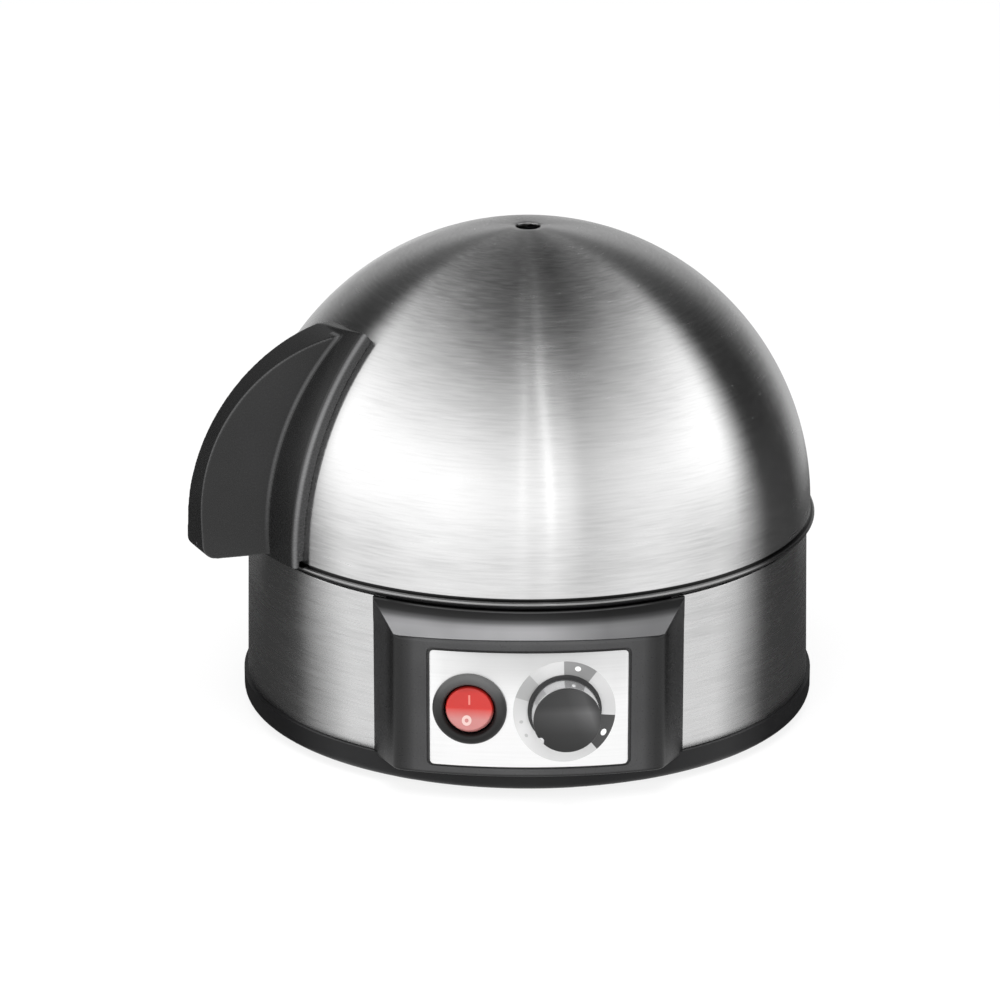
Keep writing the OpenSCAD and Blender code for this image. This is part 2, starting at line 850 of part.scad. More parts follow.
module control_console() {
    color("dimgray") difference() {
        union() {
            difference() {
                console_body(0, console_z0 - console_drop, console_z1);
                console_body(console_wall, console_z0 + console_wall, console_z1 - console_wall);
            }
            for (s = [-1, 1])
                translate([s * boss_at.x, boss_at.y, 0]) bar(boss_r, console_z0, console_z0 + boss_h);
        }
        bar(ring_r + seat_gap, 0, console_z0);
        difference() {
            bar(console_cut_r, 0, far);
            for (s = [-1, 1])
                translate([s * boss_at.x, boss_at.y, 0]) bar(boss_r, 0, console_z0 + boss_h + over);
        }
        difference() {
            rotate_extrude() polygon([
                [0, band_z0 - over], [band_r(band_z0 - over) + seat_gap, band_z0 - over],
                [band_r(band_z1 + over) + seat_gap, band_z1 + over], [0, band_z1 + over],
            ]);
            translate([-band_gap / 2 + seat_gap, -far, 0]) cube([band_gap - 2 * seat_gap, far, far]);
        }
        face_room(face_groove, -face_in, over);
        on_front(switch_x) bar(barrel_hole, -2 * barrel_len, over);
        on_front(knob_x) bar(bushing_r + screw_gap, -2 * barrel_len, over);
        for (s = [-1, 1])
            translate([s * boss_at.x, boss_at.y, 0])
                bar(console_screw_r + stand_gap, 0, console_z0 + boss_h - over);
    }
}

module console_screws() {
    color("silver") for (s = [-1, 1])
        translate([s * boss_at.x, boss_at.y, 0]) {
            bar(console_head_r, plate_z1 + stand_gap, plate_z1 + console_head_h);
            bar(console_screw_r, plate_z1 + over, console_z0 + boss_h - 2 * over);
        }
}

module face_plate() {
    color("gainsboro") difference() {
        face_room(0, -face_in, face_out);
        on_front(switch_x) bar(barrel_hole, -2 * barrel_len, far);
        on_front(knob_x) bar(bushing_r + screw_gap, -2 * barrel_len, far);
    }
}

// Switch

module switch_body() {
    color("#303030") on_front(switch_x) difference() {
        union() {
            bar(barrel_r, -barrel_len, bezel_out + bezel_tube / 2);
            rotate_extrude() intersection() {
                translate([cavity_r + bezel_tube, bezel_out]) circle(bezel_tube);
                translate([0, bezel_out]) square(far);
            }
        }
        bar(cavity_r, pivot_out - cavity_depth, far);
        translate([0, 0, pivot_out]) rotate([0, 90, 0])
            bar(axle_r + run_gap, -axle_half - seat_gap, axle_half + seat_gap);
    }
}

module switch_rocker() {
    rim = rocker_face + rocker_r * tan(rocker_throw);
    color("red") on_front(switch_x) translate([0, 0, pivot_out]) rotate([-rocker_throw, 0, 0]) {
        intersection() {
            sphere(rocker_r);
            rotate([0, 90, 0]) linear_extrude(far, center = true)
                polygon([
                    [-rocker_face, 0], [-rim, rocker_r], [rocker_back, rocker_r],
                    [rocker_back, -rocker_r], [-rim, -rocker_r],
                ]);
        }
        rotate([0, 90, 0]) bar(axle_r, -axle_half, axle_half);
    }
}

module switch_terminals() {
    color("goldenrod") on_front(switch_x) for (s = [-1, 1])
        translate([s * barrel_r / 2 - blade.x / 2, -blade.y / 2, -barrel_len - blade_len])
            cube([blade.x, blade.y, blade_len]);
}

// Rotary control and knob

module control_body() {
    color("#405060") on_front(knob_x) difference() {
        union() {
            translate([-control_w / 2, -control_w / 2, wall_in - control_depth])
                cube([control_w, control_w, control_depth]);
            bar(bushing_r, wall_in - over, bushing_out);
        }
        bar(shaft_r + run_gap, shaft_in - seat_gap, far);
    }
}

module shaft_nut() {
    color("silver") on_front(knob_x) difference() {
        bar_hex(nut_r, face_out + stand_gap, bushing_out - nut_sink);
        bar(bushing_r + stand_gap, 0, far);
    }
}

module control_shaft() {
    color("silver") on_front(knob_x) bar(shaft_r, shaft_in, shaft_end);
}

module knob_ring() {
    color("whitesmoke") on_front(knob_x) rotate_extrude() polygon([
        [cap_skirt_r + stand_gap, knob_out], [knob_r, knob_out],
        [knob_top_r, knob_out + skirt_h], [cap_skirt_r + stand_gap, knob_out + skirt_h],
    ]);
}

module knob_cap() {
    web = 2.5;
    nut_room = 1;
    mark_r = 1.2;
    cap_r = knob_top_r - 0.2;
    color("#383838") on_front(knob_x) difference() {
        union() {
            bar(cap_r, cap_out, cap_out + cap_t);
            difference() {
                bar(cap_skirt_r, knob_out + over, cap_out + cap_t / 2);
                bar(nut_r + nut_room, 0, cap_out - web);
            }
            bar(hub_r, hub_out, cap_out);
        }
        bar(shaft_r + stand_gap / 2, 0, shaft_end + stand_gap);
        rotate([0, 0, knob_mark]) translate([cap_r, 0, 0]) bar(mark_r, cap_out - over, far);
    }
}

// Electronics and mains connection

module circuit_board() {
    board_l = 16;
    board_h = 36;
    board_side = 5;
    color("darkgreen") on_front(knob_x)
        translate([-board_l, -board_h / 2, board_in])
            cube([board_l + control_w / 2 + board_side, board_h, board_t]);
}

module relay() {
    relay_l = 19;
    relay_w = 15;
    relay_h = 11;
    color("royalblue") on_front(knob_x)
        translate([-relay_l / 2, -board_t - relay_w, board_in - relay_h]) cube([relay_l, relay_w, relay_h]);
}

module buzzer() {
    buzzer_r = 6;
    buzzer_h = 7;
    port_r = 1;
    color("#202020") on_front(knob_x) translate([0, buzzer_r + board_t, board_in - buzzer_h]) difference() {
        bar(buzzer_r, 0, buzzer_h);
        bar(port_r, -over, buzzer_h / 2);
    }
}

module terminal_block() {
    block_l = 30;
    block_w = 16;
    block_h = 12;
    block_back = 23;
    wire_r = 1.8;
    driver_r = 2.2;
    ways = 3;
    color("ivory") translate([-block_l / 2, plate_r - block_back - block_w, plate_z1]) difference() {
        cube([block_l, block_w, block_h]);
        for (i = [0 : ways - 1])
            translate([(i + 0.5) * block_l / ways, block_w / 2, block_h / 2]) {
                rotate([90, 0, 0]) bar(wire_r, -block_w, block_w);
                bar(driver_r, 0, block_h);
            }
    }
}

module cord_gland() {
    color("#202020") translate([0, 0, gland_z]) rotate([-90, 0, 0]) difference() {
        union() {
            bar(gland_flange, gland_out, gland_out + gland_flange_t);
            bar(gland_r, gland_in - gland_lock_t, gland_out + gland_flange_t / 2);
            bar(gland_lock_r, gland_in - gland_lock_t, gland_in);
        }
        bar(gland_bore, 0, far);
    }
}

lid_dome();
lid_handle();
handle_screws();
handle_washers();
egg_tray();
upper_housing();
steel_band();
foot_ring();
base_plate();
base_screws();
rubber_feet();
heating_dish();
dish_seal();
heating_element();
dish_bridge();
bridge_nut();
thermal_cutout();
thermal_fuse();
control_console();
console_screws();
face_plate();
switch_body();
switch_rocker();
switch_terminals();
control_body();
shaft_nut();
control_shaft();
knob_ring();
knob_cap();
circuit_board();
relay();
buzzer();
terminal_block();
cord_gland();
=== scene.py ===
"""Looks of the electric egg cooker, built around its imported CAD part."""
import math

import bmesh
import bpy
from mathutils import Matrix, Vector
from mathutils.bvhtree import BVHTree


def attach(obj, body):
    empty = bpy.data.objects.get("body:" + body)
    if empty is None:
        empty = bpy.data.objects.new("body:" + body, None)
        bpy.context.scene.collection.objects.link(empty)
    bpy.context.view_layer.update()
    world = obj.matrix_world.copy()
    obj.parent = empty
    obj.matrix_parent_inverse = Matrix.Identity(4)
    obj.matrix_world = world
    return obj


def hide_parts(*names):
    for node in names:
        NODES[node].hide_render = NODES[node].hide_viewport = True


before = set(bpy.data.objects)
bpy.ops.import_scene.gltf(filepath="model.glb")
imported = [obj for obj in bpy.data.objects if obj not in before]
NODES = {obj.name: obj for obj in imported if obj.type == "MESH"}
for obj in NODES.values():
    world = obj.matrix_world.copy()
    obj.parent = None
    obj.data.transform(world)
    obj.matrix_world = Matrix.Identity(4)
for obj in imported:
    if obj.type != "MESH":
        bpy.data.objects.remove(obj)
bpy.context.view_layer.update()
MM = 0.001

# Sizes in millimetres and directions in degrees: those of the CAD part, and those of the edges
# that are added here
DOME_R, DOME_T, DOME_Z = 91.0, 0.8, 66.2
HEM_R, HEM_Z, VENT_R = 92.4, 63.4, 4.0
HANDLE_DIR, FLANGE_HALF, FLANGE_T = 205.0, 15.0, 3.5
SEAT_GAP, EDGE_ROLL, SINK_FROM, SINK = 0.3, 2.2, 1.6, 0.25
HEEL_Z0, HEEL_Z1, HEEL_T, HEEL_BACK, HEEL_FRONT = 65.2, 69.5, 2.9, 3.7, 14.7
BASE_R, BAND_TOP_R, BAND_T = 90.8, 89.9, 0.8
BAND_Z0, BAND_Z1 = 10.0, 60.8
BAND_GAP = 89.0
LIP_R, CONSOLE_HALF, CONSOLE_Z0, CONSOLE_Z1, SLOPE_Z = 90.2, 48.0, 8.8, 60.8, 52.4
FRONT_R, FRONT_CY, CONTROLS_Z = 140.0, 43.0, 31.05
CORNER_R, SIDE_ANGLE = 5.0, 27.0
FACE_W, FACE_H, FACE_Z, FACE_OUT = 61.5, 37.5, 30.8, 0.1
FACE_CORNER, FACE_GROOVE, FACE_BACK, FACE_BEVEL = 1.5, 0.6, 0.7, 0.25
SWITCH_X, KNOB_X = -18.15, 10.9
BEZEL_R, CAVITY_R, BEZEL_OUT = 11.5, 7.9, 0.2
BARREL_R, CAVITY_IN, BARREL_IN = 9.9, 8.9, 20.0
KNOB_R, KNOB_TOP_R, KNOB_OUT, SKIRT_H = 10.6, 10.2, 0.6, 8.0
FOOT_IN_R, FOOT_R, FOOT_OUT0, FOOT_OUT1 = 9.4, 11.4, 0.16, 0.58
CAP_R, CAP_SKIRT_R, CAP_OUT, CAP_T, CAP_SKIRT_H = 10.4, 9.3, 8.7, 0.8, 2.5
KNOB_MARK, MARK_R = 218.5, 1.2
AXIS_R, MARK_LIFT = 0.02, 0.04


# Mesh helpers

def fillet(corners, steps=6):
    """Points of a closed outline. Each corner is (x, y, radius)."""
    points = []
    count = len(corners)
    for i, (x, y, radius) in enumerate(corners):
        here = Vector((x, y))
        to_last = Vector(corners[i - 1][:2]) - here
        to_next = Vector(corners[(i + 1) % count][:2]) - here
        if radius <= 0:
            points.append((x, y))
            continue
        a, b = to_last.normalized(), to_next.normalized()
        half = a.angle(b) / 2
        reach = min(radius / math.tan(half), 0.49 * to_last.length, 0.49 * to_next.length)
        radius = reach * math.tan(half)
        centre = here + (a + b).normalized() * (radius / math.sin(half))
        start = here + a * reach - centre
        turn = (math.pi - 2 * half) * (1 if a.cross(b) < 0 else -1)
        for k in range(steps + 1):
            spun = start.copy()
            spun.rotate(Matrix.Rotation(turn * k / steps, 2))
            points.append(tuple(centre + spun))
    return points


def arc(cx, cy, r, start, stop, steps):
    """Points along an arc, angles in degrees."""
    turns = [math.radians(start + (stop - start) * i / steps) for i in range(steps + 1)]
    return [(cx + r * math.cos(t), cy + r * math.sin(t)) for t in turns]


def make_mesh(name, verts, faces, sharp=40):
    """A mesh object from points in millimetres, shaded smooth up to an angle."""
    mesh = bpy.data.meshes.new(name)
    mesh.from_pydata([Vector(v) * MM for v in verts], [], faces)
    work = bmesh.new()
    work.from_mesh(mesh)
    bmesh.ops.remove_doubles(work, verts=work.verts, dist=1e-7)
    bmesh.ops.recalc_face_normals(work, faces=work.faces)
    work.to_mesh(mesh)
    work.free()
    mesh.shade_smooth()
    mesh.set_sharp_from_angle(angle=math.radians(sharp))
    obj = bpy.data.objects.new(name, mesh)
    bpy.context.scene.collection.objects.link(obj)
    return obj


def spin(name, profile, segments=192, start=0.0, stop=360.0, place=None, sharp=40):
    """A closed outline of (radius, height) turned about Z. place maps a point to its final spot."""
    whole = abs(stop - start - 360) < 1e-6
    rings = segments if whole else segments + 1
    verts, faces = [], []
    count = len(profile)
    for i in range(rings):
        t = math.radians(start + (stop - start) * i / segments)
        for r, z in profile:
            verts.append((r * math.cos(t), r * math.sin(t), z))
    for i in range(segments):
        a, b = i * count, ((i + 1) % rings) * count
        for k in range(count):
            n = (k + 1) % count
            faces.append((a + k, b + k, b + n, a + n))
    if not whole:
        faces.append(tuple(range(count)))
        faces.append(tuple((rings - 1) * count + k for k in reversed(range(count))))
    if place:
        verts = [place(v) for v in verts]
    return make_mesh(name, verts, faces, sharp)


def on_front(x):
    """A function that puts a point on the console's bowed front: Z out of it and Y up."""
    turn = math.asin(x / FRONT_R)
    out = Vector((math.sin(turn), -math.cos(turn), 0))
    side = Vector((math.cos(turn), math.sin(turn), 0))
    centre = Vector((0, FRONT_CY, CONTROLS_Z)) + out * FRONT_R

    def place(p):
        return centre + side * p[0] + Vector((0, 0, p[1])) + out * p[2]

    return place


def bake(obj):
    """Apply an object's modifiers to its mesh."""
    bpy.context.view_layer.update()
    graph = bpy.context.evaluated_depsgraph_get()
    mesh = bpy.data.meshes.new_from_object(obj.evaluated_get(graph))
    obj.modifiers.clear()
    obj.data = mesh
    mesh.name = obj.name
    mesh.shade_smooth()


def moulded(name, node, voxel, rounds, extra=None, shape=None):
    """A copy of a CAD node's mesh with softly rounded edges, as moulded plastic has.

    extra is a solid that grows into it, and shape moves each point.
    """
    obj = bpy.data.objects.new(name, NODES[node].data.copy())
    bpy.context.scene.collection.objects.link(obj)
    if extra:
        work = bmesh.new()
        work.from_mesh(obj.data)
        work.from_mesh(extra.data)
        work.to_mesh(obj.data)
        work.free()
        bpy.data.objects.remove(extra)
    remesh = obj.modifiers.new("remesh", "REMESH")
    remesh.mode = "VOXEL"
    remesh.voxel_size = voxel * MM
    smooth = obj.modifiers.new("smooth", "SMOOTH")
    smooth.factor = 0.5
    smooth.iterations = rounds
    bake(obj)
    if shape:
        for vertex in obj.data.vertices:
            vertex.co = shape(vertex.co / MM) * MM
    return obj


# Materials

class Graph:
    """Short ways to put nodes into a node tree."""

    def __init__(self, tree):
        self.tree = tree

    def find(self, kind):
        return next(n for n in self.tree.nodes if n.type == kind)

    def add(self, kind, **settings):
        node = self.tree.nodes.new("ShaderNode" + kind)
        for key, value in settings.items():
            setattr(node, key, value)
        return node

    def link(self, source, target):
        self.tree.links.new(source, target)
        return target.node

    def math(self, operation, a, b=None):
        node = self.add("Math", operation=operation)
        for socket, value in zip(node.inputs, (a, b)):
            if value is None:
                continue
            if isinstance(value, (int, float)):
                socket.default_value = value
            else:
                self.link(value, socket)
        return node.outputs[0]

    def ramp(self, value, stops):
        """A colour ramp; each stop is (place, grey) or (place, (r, g, b))."""
        node = self.add("ValToRGB")
        marks = node.color_ramp.elements
        while len(marks) < len(stops):
            marks.new(0.5)
        for mark, (place, tone) in zip(marks, stops):
            mark.position = place
            mark.color = (*tone, 1) if isinstance(tone, tuple) else (tone, tone, tone, 1)
        self.link(value, node.inputs["Fac"])
        return node.outputs["Color"]


class Finish(Graph):
    """A node material around one Principled shader."""

    def __init__(self, name, **sockets):
        self.material = bpy.data.materials.new(name)
        self.material.use_nodes = True
        super().__init__(self.material.node_tree)
        self.shader = self.find("BSDF_PRINCIPLED")
        for key, value in sockets.items():
            self.shader.inputs[key.replace("_", " ")].default_value = value

    def position(self):
        node = self.add("TexCoord")
        return node.outputs["Object"]

    def axes(self):
        """X, Y and Z of the spot in millimetres."""
        split = self.add("SeparateXYZ")
        self.link(self.position(), split.inputs[0])
        return [self.math("MULTIPLY", axis, 1 / MM) for axis in split.outputs]

    def by(self, value, stops):
        """A ramp over millimetres."""
        low, high = stops[0][0], stops[-1][0]
        share = self.math("DIVIDE", self.math("SUBTRACT", value, low), high - low)
        return self.ramp(share, [((place - low) / (high - low), tone) for place, tone in stops])

    def times(self, a, b):
        node = self.add("VectorMath", operation="MULTIPLY")
        self.link(a, node.inputs[0])
        self.link(b, node.inputs[1])
        return node.outputs[0]

    def noise(self, vector, scale, detail=3.0, roughness=0.55):
        node = self.add("TexNoise")
        node.inputs["Scale"].default_value = scale
        node.inputs["Detail"].default_value = detail
        node.inputs["Roughness"].default_value = roughness
        self.link(vector, node.inputs["Vector"])
        return node.outputs["Fac"]

    def to(self, socket, output):
        self.link(output, self.shader.inputs[socket])

    def bump(self, height, strength, distance_mm):
        node = self.add("Bump")
        node.inputs["Strength"].default_value = strength
        node.inputs["Distance"].default_value = distance_mm * MM
        self.link(height, node.inputs["Height"])
        self.to("Normal", node.outputs["Normal"])


def brushed_metal(
    name, tone, roughness, anisotropy, centre_z=None,
    fine=1300.0, along=7.0, lines=0.10, bump=0.12, shade=None,
):
    """Steel brushed round the Z axis: lines of latitude on a dome, level lines on a band.

    shade gives a factor for the tone at a spot.
    """
    f = Finish(name, Metallic=1.0, Anisotropic=anisotropy, Anisotropic_Rotation=0.25)
    where = f.position()
    split = f.add("SeparateXYZ")
    f.link(where, split.inputs[0])
    flat = f.add("CombineXYZ")
    f.link(split.outputs["X"], flat.inputs["X"])
    f.link(split.outputs["Y"], flat.inputs["Y"])
    if centre_z is None:
        level = split.outputs["Z"]
    else:
        length = f.add("VectorMath", operation="LENGTH")
        f.link(flat.outputs[0], length.inputs[0])
        height = f.math("SUBTRACT", split.outputs["Z"], centre_z * MM)
        angle = f.math("ARCTAN2", length.outputs["Value"], height)
        level = f.math("MULTIPLY", angle, DOME_R * MM)
    unit = f.add("VectorMath", operation="NORMALIZE")
    f.link(flat.outputs[0], unit.inputs[0])
    around = f.add("SeparateXYZ")
    f.link(unit.outputs[0], around.inputs[0])

    def streaks(per_metre, turn_scale, detail):
        vector = f.add("CombineXYZ")
        f.link(f.math("MULTIPLY", around.outputs["X"], turn_scale), vector.inputs["X"])
        f.link(f.math("MULTIPLY", around.outputs["Y"], turn_scale), vector.inputs["Y"])
        f.link(f.math("MULTIPLY", level, per_metre), vector.inputs["Z"])
        return f.noise(vector.outputs[0], 1.0, detail)

    thin = streaks(fine, along, 4.0)
    broad = streaks(fine / 7, along * 0.5, 2.0)
    both = f.math("ADD", f.math("MULTIPLY", thin, 0.65), f.math("MULTIPLY", broad, 0.35))
    low, high = tone * (1 - lines * 1.3), min(1.0, tone * (1 + lines))
    colour = f.ramp(both, [(0.32, low), (0.5, tone), (0.68, high)])
    f.to("Base Color", f.times(colour, shade(f)) if shade else colour)
    f.to("Roughness", f.ramp(both, [(0.30, roughness * 0.88), (0.70, roughness * 1.12)]))
    f.bump(both, bump, 0.02)
    tangent = f.add("Tangent", direction_type="RADIAL", axis="Z")
    f.to("Tangent", tangent.outputs[0])
    return f.material


def plastic(name, tone, roughness, grain=1400.0, depth=0.25, specular=0.5, shade=None):
    """Moulded plastic with a fine grain and a slight change of tone. shade gives a factor at a spot."""
    f = Finish(name)
    f.shader.inputs["Specular IOR Level"].default_value = specular
    where = f.position()
    fine = f.noise(where, grain, 3.0)
    wide = f.noise(where, 35.0, 2.0)
    low = tuple(c * 0.86 for c in tone)
    high = tuple(min(1.0, c * 1.14) for c in tone)
    colour = f.ramp(wide, [(0.35, low), (0.65, high)])
    f.to("Base Color", f.times(colour, shade(f)) if shade else colour)
    f.to("Roughness", f.ramp(fine, [(0.3, roughness * 0.88), (0.7, min(1.0, roughness * 1.12))]))
    f.bump(fine, depth, 0.02)
    return f.material


def worn_metal(name, tone, roughness, scale=900.0):
    """Plain metal with fine cloudy variation."""
    f = Finish(name, Metallic=1.0)
    where = f.position()
    fine = f.noise(where, scale, 4.0)
    low = tuple(c * 0.85 for c in tone)
    f.to("Base Color", f.ramp(fine, [(0.3, low), (0.7, tone)]))
    f.to("Roughness", f.ramp(fine, [(0.3, roughness * 0.8), (0.7, min(1.0, roughness * 1.2))]))
    f.bump(fine, 0.15, 0.01)
    return f.material


def rim_shade(f):
    """Painted shade: the crease above the dome's hem is made dark, and the hem darker, to tone down its
    reflection.
    """
    z = f.axes()[2]
    stops = [(0.0, 0.45), (0.6, 0.4), (0.7, 0.03), (1.4, 0.03), (1.6, 1.0)]
    return f.by(z, [(HEM_Z + above, tone) for above, tone in stops])


def face_shade(f):
    """Painted shade: the plate is greyer under the slope, most in the middle."""
    x, _, z = f.axes()
    top = f.by(z, [(33, 0.0), (38, 0.10), (43, 0.26), (48, 0.36), (50, 0.52)])
    across = f.by(f.math("ABSOLUTE", x), [(0, 1.0), (14, 0.85), (31, 0.40)])
    return f.math("SUBTRACT", 1.0, f.math("MULTIPLY", top, across))


def slope_shade(f):
    """The slope is in shade under the lid's rim and towards the right."""
    x, _, z = f.axes()
    down = f.by(z, [(52, 0.95), (55.5, 1.0), (56.6, 0.86), (57.6, 0.32), (58.6, 0.06), (60, 0.02)])
    across = f.by(x, [(-45, 0.92), (-25, 1.0), (4, 1.0), (13, 0.74), (24, 0.52), (42, 0.60)])
    return f.times(down, across)


def console_shade(f):
    """Painted reflection and shade: the console's front is paler than its rounded corners and lower
    edge, which are darkened.
    """
    x, _, z = f.axes()
    across = f.by(
        f.math("ABSOLUTE", x),
        [(31, 1.0), (35, 0.90), (37, 0.52), (39, 0.30), (42.5, 0.14), (44.2, 0.45)])
    return f.times(across, f.by(z, [(8.8, 0.12), (9.3, 0.3), (9.9, 1.0)]))


def handle_painted_highlight(f):
    """Painted highlights: the handle's edges are paler, most along the flange's rolled edge and the
    fin's root.
    """
    x, y, z = f.axes()

    def inside_of(direction):
        """How far a spot lies on the inner side of the upright plane at a direction."""
        a = math.radians(direction)
        return f.math("SUBTRACT", f.math("MULTIPLY", x, math.sin(a)), f.math("MULTIPLY", y, math.cos(a)))

    inside = inside_of(HANDLE_DIR + FLANGE_HALF)
    rise = f.math("SUBTRACT", z, DOME_Z)
    squares = [f.math("POWER", axis, 2.0) for axis in (x, y, rise)]
    reach = f.math("SQRT", f.math("ADD", f.math("ADD", squares[0], squares[1]), squares[2]))
    root = DOME_R + SEAT_GAP + FLANGE_T
    below = f.math("SUBTRACT", root, reach)
    off = f.math("ABSOLUTE", f.math("SUBTRACT", inside, below))
    # Painted highlight along the flange's rolled edge.
    roll = f.times(
        f.by(off, [(0, 1.0), (0.6, 0.75), (1.5, 0.0)]),
        f.by(f.math("ADD", inside, below), [(1.4, 1.0), (2.6, 0.5), (3.6, 0.0)]))
    # Painted light on the flange's side face, near the dome.
    strip = f.times(
        f.by(inside, [(0.3, 0.22), (0.9, 0.0)]),
        f.by(reach, [(DOME_R + 3.6, 1.0), (DOME_R + 4.4, 0.0)]))
    # Painted glints along the sharp edges, away from the dome.
    edge_glint = f.by(f.add("NewGeometry").outputs["Pointiness"], [(0.515, 0.0), (0.55, 0.55)])
    edge_glint = f.times(edge_glint, f.by(reach, [(DOME_R + 5, 0.0), (DOME_R + 6, 1.0)]))
    front = f.by(inside_of(HANDLE_DIR), [(-3.9, 1.0), (-3.2, 0.0)])
    # Painted highlight along the line where the fin meets the flange.
    seam = f.times(
        f.by(reach, [(root + 0.2, 0.0), (root + 0.5, 1.0), (root + 0.9, 1.0), (root + 1.4, 0.0)]),
        f.times(f.by(z, [(68, 0.05), (85, 0.30), (108, 0.42)]), front))
    most = f.math("MAXIMUM", f.math("MAXIMUM", roll, seam), f.math("MAXIMUM", strip, edge_glint))
    return f.by(most, [(0.0, 0.085), (1.0, 1.0)])


def switch_spot(f):
    """Where a spot lies on the switch: up from its centre, and away from its axis."""
    x, _, z = f.axes()
    turn = math.asin(SWITCH_X / FRONT_R)
    along = f.math("MULTIPLY", f.math("SUBTRACT", x, SWITCH_X), 1 / math.cos(turn))
    up = f.math("SUBTRACT", z, CONTROLS_Z)
    away = f.math("SQRT", f.math("ADD", f.math("POWER", along, 2.0), f.math("POWER", up, 2.0)))
    return up, away


def rocker_shade(f):
    """Painted light and shade: the lower half is paler, as a highlight, and the edge is darkened."""
    up, away = switch_spot(f)
    pale, mid = (0.50, 0.19, 0.18), (0.52, 0.10, 0.09)
    full, deep = (0.55, 0.026, 0.020), (0.40, 0.02, 0.016)
    tone = f.by(up, [(-6.5, pale), (-2.6, pale), (-0.8, mid), (0.6, full), (5.5, full), (7.2, deep)])
    return f.times(tone, f.by(away, [(7.3, 1.0), (7.6, 0.15)]))


def bezel_shade(f):
    """Painted light: the bezel is paler towards its top."""
    return f.by(switch_spot(f)[0], [(-11, 0.04), (-4, 0.10), (3, 0.30), (7, 0.75), (11, 1.0)])


def cap_shade(f):
    """A painted sheen across the knob's face, above the middle and towards the right."""
    x, _, z = f.axes()
    lean = f.math("ADD", x, f.math("MULTIPLY", f.math("SUBTRACT", z, CONTROLS_Z), 0.35))
    stops = [(-10, 0.12), (-3, 0.22), (3, 0.30), (8.4, 0.6), (11, 0.2)]
    across = f.by(lean, [(KNOB_X + right, tone) for right, tone in stops])
    stops = [(-10.6, 0.1), (-4.6, 0.3), (2.4, 1.0), (5.0, 0.5), (11.4, 0.4)]
    down = f.by(z, [(CONTROLS_Z + up, tone) for up, tone in stops])
    return f.times(across, down)


STEEL_DOME = brushed_metal("steel_dome", 0.70, 0.25, 0.96, centre_z=DOME_Z, lines=0.08, shade=rim_shade)
STEEL_BAND = brushed_metal("steel_band_brushed", 0.60, 0.27, 0.95, lines=0.07)
STEEL_FACE = brushed_metal(
    "steel_face", 0.91, 0.42, 0.3, fine=1600.0, along=3.0, lines=0.03, bump=0.05, shade=face_shade)
STEEL_DISH = brushed_metal("steel_dish", 0.60, 0.32, 0.6, fine=700.0)
BLACK = plastic(
    "black_moulded", (0.14, 0.14, 0.142), 0.27, depth=0.04, specular=0.42, shade=handle_painted_highlight)
BLACK_DULL = plastic("black_dull", (0.010, 0.010, 0.0105), 0.34, depth=0.05, specular=0.2)
BLACK_FRONT = plastic(
    "black_front", (0.052, 0.052, 0.053), 0.30, depth=0.05, specular=0.25, shade=console_shade)
BLACK_SATIN = plastic(
    "black_satin", (0.011, 0.011, 0.0115), 0.34, grain=2500.0, depth=0.05, specular=0.6)
BLACK_BEZEL = plastic(
    "black_bezel", (0.10, 0.10, 0.10), 0.34, depth=0.05, specular=0.3, shade=bezel_shade)
BLACK_CAP = plastic("black_cap", (0.150, 0.150, 0.152), 0.36, depth=0.05, shade=cap_shade)
# A paler grey for the slope than the rest of the console: painted sheen for the light that the
# upward-facing slope catches.
SLOPE_SHEEN = plastic(
    "slope_painted_sheen", (0.225, 0.225, 0.23), 0.36,
    grain=2200.0, depth=0.06, specular=0.25, shade=slope_shade)
TRAY = plastic("tray_moulded", (0.030, 0.030, 0.032), 0.38, grain=1800.0)
CHROME = worn_metal("chrome_plate", (0.80, 0.80, 0.81), 0.16, 2000.0)
ZINC = worn_metal("zinc_plate", (0.62, 0.62, 0.60), 0.35)
OXIDISED = worn_metal("oxidised_sheath", (0.30, 0.29, 0.28), 0.5, 600.0)
BRASS = worn_metal("brass", (0.70, 0.53, 0.25), 0.3)
RUBBER = plastic("rubber_matt", (0.018, 0.018, 0.018), 0.75, grain=900.0, specular=0.3)
SILICONE = plastic("silicone_red", (0.32, 0.045, 0.035), 0.55, grain=700.0)
RESIN = plastic("brown_resin", (0.16, 0.08, 0.035), 0.4)
GREY = plastic("grey_case", (0.045, 0.055, 0.065), 0.45)
GREEN = plastic("board_lacquer", (0.01, 0.09, 0.03), 0.25, grain=600.0)
BLUE = plastic("relay_case", (0.012, 0.035, 0.16), 0.25)
IVORY = plastic("block_ivory", (0.62, 0.58, 0.50), 0.5)
RED = plastic("rocker_red", (0.97, 0.97, 0.97), 0.22, depth=0.04, shade=rocker_shade)
PRINT_PALE = plastic("print_pale", (0.54, 0.54, 0.54), 0.5)
PRINT_MID = plastic("print_mid", (0.22, 0.22, 0.22), 0.5)
PRINT_SOFT = plastic("print_soft", (0.37, 0.37, 0.37), 0.5)
PRINT_DARK = plastic("print_dark", (0.045, 0.045, 0.045), 0.5)
PRINT_WHITE = plastic("print_white", (0.88, 0.88, 0.87), 0.45)
PRINT_PINK = plastic("print_pink", (0.74, 0.21, 0.175), 0.45)
PRINT_ROSE = plastic("print_rose", (0.68, 0.47, 0.44), 0.45)

